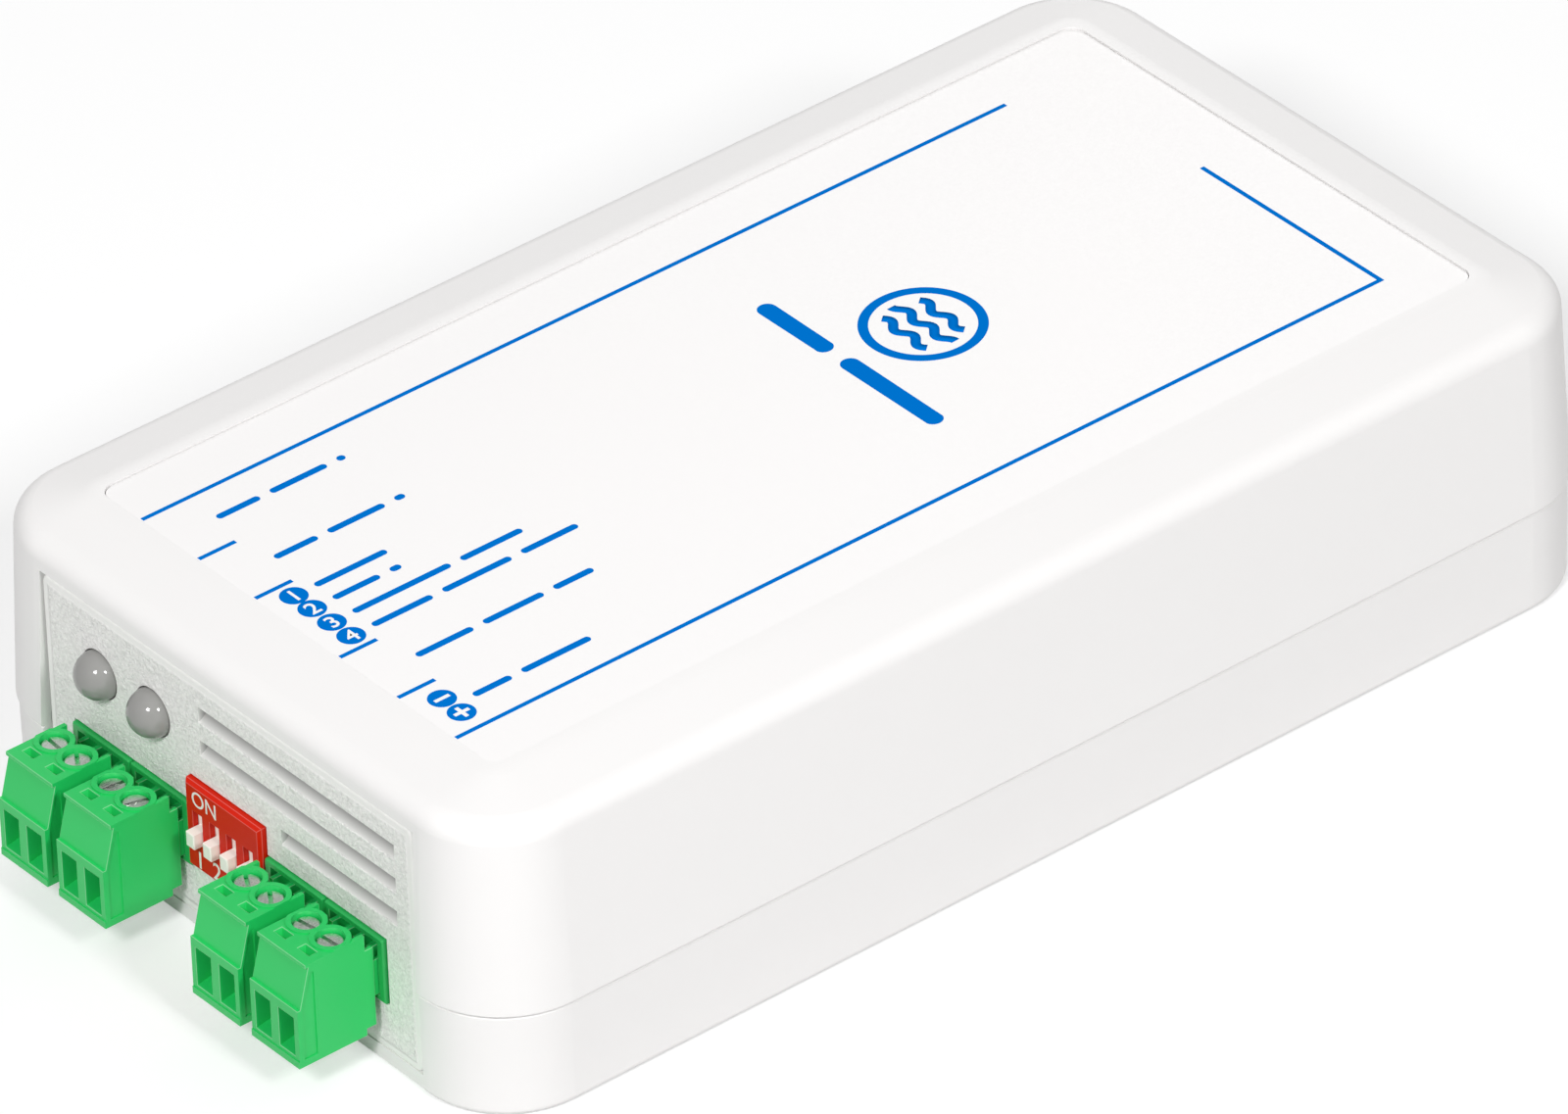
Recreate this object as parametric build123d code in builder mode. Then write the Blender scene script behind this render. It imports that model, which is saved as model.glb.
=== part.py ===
"""A four-channel water leak detector: a two-part plastic case on a circuit board.

Millimetres, +Z up. The connector panel faces -Y and the long sides face -X and +X.
The origin is the middle of the flat underside of the case.
"""
import os
from math import radians, sqrt, tan

from build123d import *

os.makedirs("parts", exist_ok=True)

# Case, outside
case_width = 77.6
case_length = 137.2
case_height = 33.6
corner_radius = 10.0
seam_height = 11.5
wall = 2.0

# Cover: drafted walls under a crown that slopes away from the label
cover_draft = 2.5
crown_slope = 12.0
crown_edge_radius = 2.4
crown_top_radius = 7.0
shoulder_run = 8.225
roof = 2.2
cover_lip_radius = 0.25

# Base: set in a little under the cover
cover_overhang = 0.25
base_draft = 0.75
base_edge_radius = 0.8
base_floor = 1.6
seam_groove = 0.3
tongue_thickness = 0.9
tongue_height = 1.2
shell_gap = 0.1

# Label on the cover, inside a flat rim
rim_side = 1.2
rim_end = 0.925
label_corner = 1.6
label_thickness = 0.3
label_recess = 0.5
label_gap = 0.1

# End panels: a plate in the opening, and a flange that the shells hold from both sides
panel_width = 55.3
panel_headroom = 4.55
panel_lift = 0.05
panel_corner = 0.9
panel_edge_radius = 0.3
panel_recess = 0.05
panel_plate = 2.1
panel_flange = 1.2
flange_reach = 0.9
panel_gap = 0.25
opening_draft = 1.0
guide_width = 2.0
guide_depth = 1.5
guide_gap = 0.1

# Blind louvres in the front panel: two long ones over the switches and a short one beside them
louvre_depth = 1.2
louvre_height = 1.7
louvre_drop = 2.95
louvre_foot = 2.5
louvre_right = 24.85
louvre_long_left = -4.2
louvre_short_left = 7.65

# Screws that close the case from below
case_screw_side = 7.3
case_screw_end = 12.1
case_boss_radius = 4.0
case_screw_radius = 1.45
case_head_radius = 2.7
case_head_height = 2.0
case_head_depth = 4.0
case_screw_length = 14.0
screw_pass_gap = 0.25
screw_bite_gap = 0.05
head_well_gap = 0.3
head_edge = 0.35
slot_width = 0.8
slot_depth = 0.9

# Circuit board
board_side_gap = 1.0
board_rear_gap = 7.2
board_thickness = 1.6
board_corner = 1.0
board_top = 7.15
board_gap = 0.2
board_screw_side = 3.5
board_screw_end = 13.5
standoff_radius = 3.0
board_screw_radius = 1.2
board_head_radius = 2.4
board_head_height = 1.6
board_screw_length = 5.0
lead_hole_gap = 0.25
lead_tail = 1.1
lead_bend = 0.9

# Status lights
led_radius = 2.5
led_lift = 0.075
led_outer = 18.95
led_inner = 10.9
led_barrel = 6.0
led_flange_radius = 2.9
led_flange = 1.0
led_hole_gap = 0.1
led_lead = 0.5
led_pitch = 2.54
led_lead_clear = 2.0

# Terminal headers on the board, placed from the middle of the connectors
connector_x = -0.45
terminal_outer = 19.0
terminal_inner = 10.15
pole_pitch = 3.5
header_width = 8.75
header_height = 7.25
header_length = 9.4
header_proud = 0.4
header_wall = 0.85
header_roof = 0.65
header_sole = 0.7
header_back = 1.6
header_corner = 0.3
header_edge = 0.15
cutout_gap = 0.1
pin_size = 0.9
pin_over_bar = 0.15
pin_tip = 0.3
pin_fit = 0.05
pin_front = 0.8

# Pluggable terminal, seen from the side: distances out from the panel face, heights over its sole
plug_width = 7.1
plug_height = 11.2
plug_reach = 9.95
plug_sole = 4.05
lip_height = 0.8
lower_front = 9.85
ledge_height = 6.5
slant_foot = 9.5
slant_head = 8.35
plate_front = 8.7
plate_thickness = 0.42
plug_rear = 0.9
sole_notch = 2.0
sole_notch_height = 0.75
shoulder = 7.9
fin_rear = 1.8
fin_step = 9.5
fin_thickness = 0.45
nose_length = 6.85
nose_side_gap = 0.1
nose_sole_gap = 0.1
nose_chamfer = 0.3
key_width = 0.5
key_height = 1.2
key_spread = 1.0
strip_rear = 7.75
strip_inset = 0.25
strip_top = 10.2
strip_corner = 0.25
strip_depth = 0.12

# Wells, test holes and wire entries of a plug
well_out = 4.35
well_gap = 0.1
collar_wall = 0.52
collar_rise = 0.15
head_sink = 0.3
head_radius = 1.35
head_height = 1.3
head_gap = 0.05
head_chamfer = 0.15
driver_slot = 0.42
driver_slot_depth = 0.6
shank_radius = 0.95
shank_gap = 0.1
test_out = 7.0
test_width = 1.7
test_length = 0.95
test_depth = 1.0
test_taper = 12.0
entry_width = 2.3
entry_bottom = 1.15
entry_top = 5.5
throat_width = 1.9
throat_bottom = 2.1
throat_top = 5.0

# Rising cage clamp in each pole
cage_width = 2.7
cage_depth = 3.1
cage_height = 4.9
cage_wall = 0.35
cage_top = 0.9
cage_sole = 0.6
cage_rest = 1.5
cage_travel = 1.6
chamber_gap = 0.05
cage_under = 0.1
cage_over = 0.5
bar_width = 1.5
bar_thickness = 0.55
bar_bottom = 4.8
socket_wall = 0.3
socket_height = 1.3
socket_length = 4.0
socket_end_gap = 0.45
contact_gap = 0.05

# Red switch block
dip_offset = 0.05
dip_width = 11.35
dip_height = 9.85
dip_lift = 0.55
dip_proud = 0.8
dip_bevel = 0.35
dip_pitch = 2.54
dip_front = 0.65
dip_wall = 0.6
dip_shell = 3.2
dip_depth = 5.5
window_width = 1.4
window_bottom = 3.25
window_height = 3.46
knob_width = 1.2
knob_height = 1.6
knob_proud = 1.0
slide_travel = 1.7
slide_gap = 0.05
slide_plate = 0.6
slide_plate_width = 1.7
guide_rib = 0.5
knob_edge = 0.12
dip_leg = 0.5
dip_row = 7.62
dip_leg_short = 1.4
dip_leg_long = 3.4

# Parts on the board: X of the middle, and how far the middle is behind the board's front edge
beeper_x = -13.0
beeper_back = 28.0
beeper_radius = 6.0
beeper_height = 9.0
beeper_edge = 0.5
beeper_hole = 1.0
beeper_hole_depth = 3.0
beeper_leg_place = 3.25
relay_x = 10.5
relay_back = 24.0
relay_width = 7.4
relay_length = 15.0
relay_height = 10.5
relay_leg_x = 2.54
relay_leg_y = 5.08
body_edge = 0.3
regulator_x = 17.0
regulator_back = 44.0
regulator_width = 6.5
regulator_length = 6.1
regulator_height = 2.3
regulator_tab_width = 5.2
regulator_tab_reach = 2.6
regulator_leg_width = 1.0
regulator_leg_place = 2.29
regulator_tab_thickness = 0.5
chip_x = -2.0
chip_back = 59.0
chip_width = 7.5
chip_length = 12.8
chip_height = 2.3
chip_legs = 10
chip_pitch = 1.27
chip_leg_width = 0.4
chip_leg_reach = 1.4
chip_leg_knee = 0.45
chip_leg_thickness = 0.25
capacitor_x = 16.0
capacitor_back = 58.0
capacitor_radius = 4.0
capacitor_height = 11.5
capacitor_groove = 0.35
capacitor_groove_height = 1.4
capacitor_leg_place = 1.75

# Angle of each clamp screw's slot, from +X, pole by pole from the left
slot_angles = (-5, -33, 84, 74, -30, -33, 8, 5)

# Places that follow from the sizes
label_width = case_width - 2 * (shoulder_run + rim_side)
label_length = case_length - 2 * (shoulder_run + rim_end)
wall_slope = tan(radians(cover_draft))
crown_pitch = tan(radians(crown_slope))
crown_run = shoulder_run - (case_height - seam_height) * wall_slope
crown_rise = crown_run * crown_pitch / (1 - wall_slope * crown_pitch)
crown_height = case_height - crown_rise
wall_inset = (crown_height - seam_height) * wall_slope
crown_inset = crown_rise / crown_pitch
cavity_top = case_height - label_recess - roof
panel_bottom = base_floor + panel_lift
panel_top = case_height - panel_headroom
panel_height = panel_top - panel_bottom
panel_middle = (panel_bottom + panel_top) / 2
panel_face = case_length / 2 - (panel_top - seam_height) * wall_slope - panel_recess
flange_front = panel_face - panel_plate
flange_back = flange_front - panel_flange
base_width = case_width - 2 * cover_overhang
base_length = case_length - 2 * cover_overhang
base_corner = corner_radius - cover_overhang
board_bottom = board_top - board_thickness
board_front = flange_back - board_gap
board_length = board_front + flange_back - board_rear_gap
board_middle = board_length / 2 - board_front
case_screw_x = case_width / 2 - case_screw_side
case_screw_y = case_length / 2 - case_screw_end
board_width = 2 * (case_screw_x - case_boss_radius - board_side_gap)
board_screw_x = board_width / 2 - board_screw_side
board_screw_y = board_length / 2 - board_screw_end
header_top = board_top + header_height
header_front = panel_face + header_proud
terminal_places = [connector_x + x for x in (-terminal_outer, -terminal_inner, terminal_inner, terminal_outer)]
led_places = [connector_x - x for x in (led_outer, led_inner)]
led_height = (header_top + panel_top) / 2 + led_lift
louvre_top = panel_top - louvre_drop
louvre_pitch = (louvre_top - louvre_height - louvre_foot - header_top) / 2
louvre_tops = (louvre_top, louvre_top - louvre_pitch, louvre_top - 2 * louvre_pitch)
louvre_lefts = (louvre_long_left, louvre_long_left, louvre_short_left)
header_rear = header_front - header_length
slant_rise = (strip_top - ledge_height) / (plug_height - plate_thickness - ledge_height)
strip_head = slant_foot - (slant_foot - slant_head) * slant_rise
pin_middle = plug_sole + bar_bottom + bar_thickness + pin_over_bar + pin_size / 2
pole_offsets = (-pole_pitch / 2, pole_pitch / 2)
dip_bottom = board_top + dip_lift
dip_face = panel_face + dip_proud
dip_x = connector_x + dip_offset
slider_places = [dip_x + dip_pitch * (n - 1.5) for n in range(4)]
led_back = panel_face - led_barrel
header_lead = header_rear - pin_size
led_lead_y = header_lead - led_lead_clear
beeper_y = beeper_back - board_front
relay_y = relay_back - board_front
regulator_y = regulator_back - board_front
chip_y = chip_back - board_front
capacitor_y = capacitor_back - board_front
nose_end = plug_rear - nose_length
well_radius = head_radius + well_gap
chamber_floor = cage_rest - cage_under
chamber_roof = cage_rest + cage_height + cage_travel + cage_over
pin_hole = pin_size * sqrt(2) / 2 + lead_hole_gap
lead_hole = led_lead * sqrt(2) / 2 + lead_hole_gap
dip_back = dip_face - dip_depth
case_bosses = [(x, y) for x in (-case_screw_x, case_screw_x) for y in (-case_screw_y, case_screw_y)]
board_posts = [(x, y) for x in (-board_screw_x, board_screw_x) for y in (-board_screw_y, board_screw_y)]


def out(distance):
    """Y of a point this far out in front of the connector panel's face."""
    return -(panel_face + distance)


def over(height):
    """Z of a point this far over a plug's sole."""
    return plug_sole + height


def save(piece, name):
    """Label a finished piece and write it as its own file."""
    piece.label = name
    export_step(piece, f"parts/{name}.step")


# Top cover
with BuildPart() as top_cover:
    with BuildSketch(Plane.XY.offset(seam_height)):
        RectangleRounded(case_width, case_length, corner_radius)
    extrude(amount=crown_height - seam_height, taper=cover_draft)
    with BuildSketch(Plane.XY.offset(crown_height)):
        crown_corner = corner_radius - wall_inset
        RectangleRounded(case_width - 2 * wall_inset, case_length - 2 * wall_inset, crown_corner)
    with BuildSketch(Plane.XY.offset(case_height)):
        top_inset = wall_inset + crown_inset
        RectangleRounded(case_width - 2 * top_inset, case_length - 2 * top_inset, corner_radius - top_inset)
    loft(ruled=True)
    fillet(top_cover.edges().group_by(Axis.Z)[-1], crown_top_radius)
    shoulder_edges = [edge for edge in top_cover.edges() if abs(edge.center().Z - crown_height) < 0.01]
    fillet(shoulder_edges, crown_edge_radius)
    fillet(top_cover.edges().group_by(Axis.Z)[0], cover_lip_radius)
    # the hollow inside, and the rebate for the base's tongue
    with BuildSketch(Plane.XY.offset(seam_height)):
        RectangleRounded(case_width - 2 * wall, case_length - 2 * wall, corner_radius - wall)
    extrude(amount=cavity_top - seam_height, taper=cover_draft, mode=Mode.SUBTRACT)
    rebate = wall - tongue_thickness - shell_gap
    with BuildSketch(Plane.XY.offset(seam_height)):
        RectangleRounded(base_width - 2 * rebate, base_length - 2 * rebate, base_corner - rebate)
    extrude(amount=tongue_height + shell_gap, mode=Mode.SUBTRACT)
    # recess for the label
    with BuildSketch(Plane.XY.offset(case_height)):
        recess_corner = label_corner + label_gap
        RectangleRounded(label_width + 2 * label_gap, label_length + 2 * label_gap, recess_corner)
    extrude(amount=-label_recess, mode=Mode.SUBTRACT)
    # posts that take the case screws
    with BuildSketch(Plane.XY.offset(seam_height)):
        with Locations(*case_bosses):
            Circle(case_boss_radius)
    extrude(amount=cavity_top - seam_height)
    # guides behind the end panels
    with BuildSketch(Plane.XY.offset(seam_height)):
        for side in (-1, 1):
            for end in (-1, 1):
                with Locations((side * panel_width / 2, end * (flange_back - guide_gap - guide_depth / 2))):
                    Rectangle(guide_width, guide_depth)
    extrude(amount=cavity_top - seam_height)
    with BuildSketch(Plane.XY.offset(seam_height)):
        with Locations(*case_bosses):
            Circle(case_screw_radius + screw_bite_gap)
    extrude(amount=case_screw_length, mode=Mode.SUBTRACT)
    # one opening at each end, a little wider at the seam
    with BuildSketch(Plane.XZ):
        with BuildLine():
            opening_half = panel_width / 2 + panel_gap
            opening_top = panel_top + panel_gap / 2
            flare = (opening_top - seam_height) * tan(radians(opening_draft))
            Polyline(
                (-opening_half - flare, seam_height),
                (opening_half + flare, seam_height),
                (opening_half, opening_top),
                (-opening_half, opening_top),
                close=True,
            )
        make_face()
    extrude(amount=case_length, both=True, mode=Mode.SUBTRACT)
save(top_cover.part, "top_cover")

# Base shell
with BuildPart() as base_shell:
    with BuildSketch(Plane.XY.offset(seam_height)):
        RectangleRounded(base_width, base_length, base_corner)
    extrude(amount=-seam_height, taper=base_draft)
    fillet(base_shell.edges().group_by(Axis.Z)[0], base_edge_radius)
    chamfer(base_shell.edges().group_by(Axis.Z)[-1], seam_groove)
    # the tongue, then the hollow inside
    tongue_inset = wall - tongue_thickness
    with BuildSketch(Plane.XY.offset(seam_height)):
        tongue_corner = base_corner - tongue_inset
        RectangleRounded(base_width - 2 * tongue_inset, base_length - 2 * tongue_inset, tongue_corner)
    extrude(amount=tongue_height)
    with BuildSketch(Plane.XY.offset(base_floor)):
        RectangleRounded(base_width - 2 * wall, base_length - 2 * wall, base_corner - wall)
    extrude(amount=seam_height + tongue_height - base_floor, mode=Mode.SUBTRACT)
    # screw posts, board stand-offs and panel guides
    with BuildSketch(Plane.XY.offset(base_floor)):
        with Locations(*case_bosses):
            Circle(case_boss_radius)
        for side in (-1, 1):
            for end in (-1, 1):
                with Locations((side * panel_width / 2, end * (flange_back - guide_gap - guide_depth / 2))):
                    Rectangle(guide_width, guide_depth)
    extrude(amount=seam_height - base_floor)
    with BuildSketch(Plane.XY.offset(base_floor)):
        with Locations(*[(x, y + board_middle) for x, y in board_posts]):
            Circle(standoff_radius)
    extrude(amount=board_bottom - base_floor)
    with Locations(*[Location((x, y, 0), (180, 0, 0)) for x, y in case_bosses]):
        CounterBoreHole(
            case_screw_radius + screw_pass_gap, case_head_radius + head_well_gap, case_head_depth, seam_height
        )
    with Locations(*[Location((x, y + board_middle, board_bottom)) for x, y in board_posts]):
        Hole(board_screw_radius + screw_bite_gap, board_screw_length - board_thickness + screw_bite_gap)
    # one opening at each end, down to the floor
    with BuildSketch(Plane.XZ):
        with Locations((0, base_floor)):
            opening_width = 2 * (opening_half + flare)
            Rectangle(opening_width, seam_height + tongue_height, align=(Align.CENTER, Align.MIN))
    extrude(amount=case_length, both=True, mode=Mode.SUBTRACT)
    # the floor's ends stop level with the panels
    with BuildSketch(Plane.XY):
        for end in (-1, 1):
            with Locations((0, end * (panel_face + case_length / 2))):
                Rectangle(opening_width, case_length)
    extrude(amount=base_floor, mode=Mode.SUBTRACT)
save(base_shell.part, "base_shell")


def end_panel(end):
    """An end panel: a plate that fills the opening and a wider flange behind it."""
    with BuildPart() as panel:
        with BuildSketch(Plane.XZ.offset(-end * panel_face)):
            with Locations((0, panel_middle)):
                RectangleRounded(panel_width, panel_height, panel_corner)
        extrude(amount=end * panel_plate)
        outer_face = panel.faces().sort_by(Axis.Y)[-1 if end > 0 else 0]
        fillet(outer_face.edges(), panel_edge_radius)
        with BuildSketch(Plane.XZ.offset(-end * flange_front)):
            with Locations((0, panel_bottom)):
                flange_width = panel_width + 2 * flange_reach
                Rectangle(flange_width, panel_height + flange_reach, align=(Align.CENTER, Align.MIN))
        extrude(amount=end * panel_flange)
    return panel.part


# Front panel, with its louvres and the openings for the connectors, switches and lights
header_outer = terminal_outer + header_width / 2 + cutout_gap
header_inner = terminal_inner - header_width / 2 - cutout_gap
with BuildPart() as front_panel:
    add(end_panel(-1))
    for top, left in zip(louvre_tops, louvre_lefts):
        with BuildSketch(Plane.YZ.offset(left)):
            with BuildLine():
                deep = (out(-louvre_depth), top)
                foot = (out(0), top - louvre_height)
                Line((out(0), top), deep)
                RadiusArc(deep, foot, louvre_height)
                Line(foot, (out(0), top))
            make_face()
        extrude(amount=louvre_right - left, mode=Mode.SUBTRACT)
    with BuildSketch(Plane.XZ.offset(panel_face)):
        for side in (-1, 1):
            pair_x = connector_x + side * (header_outer + header_inner) / 2
            with Locations((pair_x, board_top - cutout_gap)):
                cutout_height = header_height + 2 * cutout_gap
                Rectangle(header_outer - header_inner, cutout_height, align=(Align.CENTER, Align.MIN))
        with Locations((dip_x, dip_bottom - cutout_gap)):
            dip_opening = dip_width + 2 * cutout_gap
            Rectangle(dip_opening, dip_height + 2 * cutout_gap, align=(Align.CENTER, Align.MIN))
        with Locations(*[(x, led_height) for x in led_places]):
            Circle(led_radius + led_hole_gap)
    extrude(amount=-panel_plate - panel_flange, mode=Mode.SUBTRACT)
save(front_panel.part, "front_panel")

# Plain rear panel
with BuildPart() as rear_panel:
    add(end_panel(1))
save(rear_panel.part, "rear_panel")

# Label
with BuildPart() as top_label:
    with BuildSketch(Plane.XY.offset(case_height - label_recess)):
        RectangleRounded(label_width, label_length, label_corner)
    extrude(amount=label_thickness)
save(top_label.part, "top_label")


def slotted_screw(x, y, seat, head_side, head, shank):
    """A slotted screw: head_side is +1 with the head on top of its seat and -1 with it below."""
    head_r, head_h = head
    shank_r, shank_l = shank
    with BuildPart() as screw:
        with BuildSketch(Plane.XY.offset(seat)):
            with Locations((x, y)):
                Circle(head_r)
        extrude(amount=head_side * head_h)
        chamfer(screw.edges().sort_by(Axis.Z)[-1 if head_side > 0 else 0], head_edge)
        with BuildSketch(Plane.XY.offset(seat + head_side * head_h)):
            with Locations((x, y)):
                Rectangle(2 * head_r, slot_width)
        extrude(amount=-head_side * slot_depth, mode=Mode.SUBTRACT)
        with BuildSketch(Plane.XY.offset(seat)):
            with Locations((x, y)):
                Circle(shank_r)
        extrude(amount=-head_side * shank_l)
    return screw.part


# Screws: four close the case, four hold the board
case_screw_set = Compound(
    children=[
        slotted_screw(
            x, y, case_head_depth, -1, (case_head_radius, case_head_height),
            (case_screw_radius, case_screw_length),
        )
        for x, y in case_bosses
    ]
)
save(case_screw_set, "case_screws")
board_screw_set = Compound(
    children=[
        slotted_screw(
            x, y + board_middle, board_top, 1, (board_head_radius, board_head_height),
            (board_screw_radius, board_screw_length),
        )
        for x, y in board_posts
    ]
)
save(board_screw_set, "board_screws")

# Legs of the parts that stand on the board, as X and Y
header_legs = [
    (x + pole, -header_lead + pin_size / 2) for x in terminal_places for pole in pole_offsets
]
led_legs = [(x + side * led_pitch / 2, -led_lead_y) for x in led_places for side in (-1, 1)]
dip_leg_rows = [-dip_back + dip_leg_short, -dip_back + dip_leg_long]
dip_legs = [(x, y) for x in slider_places for y in dip_leg_rows]
beeper_legs = [(beeper_x + side * beeper_leg_place, beeper_y) for side in (-1, 1)]
relay_legs = [(relay_x + a * relay_leg_x, relay_y + b * relay_leg_y) for a in (-1, 1) for b in (-1, 1)]
capacitor_legs = [(capacitor_x + side * capacitor_leg_place, capacitor_y) for side in (-1, 1)]

# Circuit board
with BuildPart() as circuit_board:
    with BuildSketch(Plane.XY.offset(board_bottom)):
        with Locations((0, board_middle)):
            RectangleRounded(board_width, board_length, board_corner)
        with Locations(*[(x, y + board_middle) for x, y in board_posts]):
            Circle(board_screw_radius + screw_pass_gap, mode=Mode.SUBTRACT)
        with Locations(*header_legs):
            Circle(pin_hole, mode=Mode.SUBTRACT)
        with Locations(*led_legs, *dip_legs, *beeper_legs, *relay_legs, *capacitor_legs):
            Circle(lead_hole, mode=Mode.SUBTRACT)
    extrude(amount=board_thickness)
save(circuit_board.part, "circuit_board")


def bent_lead(front, bend, top, thickness, width, foot):
    """A lead that runs back from front to bend and turns down to foot, in the YZ plane about X = 0."""
    with BuildPart() as lead:
        with BuildSketch(Plane.YZ):
            with BuildLine():
                Polyline(
                    (front, top),
                    (bend + thickness / 2, top),
                    (bend + thickness / 2, foot),
                    (bend - thickness / 2, foot),
                    (bend - thickness / 2, top - thickness),
                    (front, top - thickness),
                    close=True,
                )
            make_face()
            fillet(vertices().group_by(Axis.Y)[-1].sort_by(Axis.X)[-1], thickness * lead_bend)
        extrude(amount=width / 2, both=True)
    return lead.part


lead_foot = board_bottom - lead_tail
leg_length = board_thickness + lead_tail

# Status lights: a clear dome on a barrel, and two leads each
with BuildPart() as led_lens:
    with BuildSketch(Plane.YZ):
        with BuildLine():
            Polyline(
                (out(led_radius), led_height),
                (-led_back, led_height),
                (-led_back, led_height + led_flange_radius),
                (-led_back - led_flange, led_height + led_flange_radius),
                (-led_back - led_flange, led_height + led_radius),
                (out(0), led_height + led_radius),
            )
            CenterArc((out(0), led_height), led_radius, 90, 90)
        make_face()
    revolve(axis=Axis((0, 0, led_height), (0, 1, 0)))
for number, x in enumerate(led_places, start=1):
    save(Pos(x, 0, 0) * led_lens.part, f"status_led_{number}")
led_wire = bent_lead(-led_back, -led_lead_y, led_height + led_lead / 2, led_lead, led_lead, lead_foot)
save(Compound(children=[Pos(x, 0, 0) * led_wire for x, _ in led_legs]), "led_leads")

# Terminal header: an open-fronted shroud
with BuildPart() as header:
    with BuildSketch(Plane.XY.offset(board_top)):
        with Locations((0, -(header_front + header_rear) / 2)):
            Rectangle(header_width, header_length)
    extrude(amount=header_height)
    fillet(header.edges().filter_by(Axis.Y).group_by(Axis.Z)[-1], header_corner)
    chamfer(header.faces().sort_by(Axis.Y)[0].edges(), header_edge)
    with BuildSketch(Plane.XZ.offset(header_front)):
        with Locations((0, board_top + header_sole)):
            Rectangle(
                header_width - 2 * header_wall,
                header_height - header_sole - header_roof,
                align=(Align.CENTER, Align.MIN),
            )
    extrude(amount=-(header_length - header_back), mode=Mode.SUBTRACT)
    # holes for the pins
    with BuildSketch(Plane.XZ.offset(header_front)):
        with Locations(*[(pole, pin_middle) for pole in pole_offsets]):
            Rectangle(pin_size + 2 * pin_fit, pin_size + 2 * pin_fit)
    extrude(amount=-header_length, mode=Mode.SUBTRACT)
pin_top = pin_middle + pin_size / 2
pin_bar = bent_lead(out(-pin_front), -header_lead + pin_size / 2, pin_top, pin_size, pin_size, lead_foot)
with BuildPart() as header_pin:
    add(pin_bar)
    chamfer(header_pin.faces().sort_by(Axis.Y)[0].edges(), pin_tip)
for number, x in enumerate(terminal_places, start=1):
    save(Pos(x, 0, 0) * header.part, f"header_{number}")
    pins = Compound(children=[Pos(x + pole, 0, 0) * header_pin.part for pole in pole_offsets])
    save(pins, f"header_pins_{number}")

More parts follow.
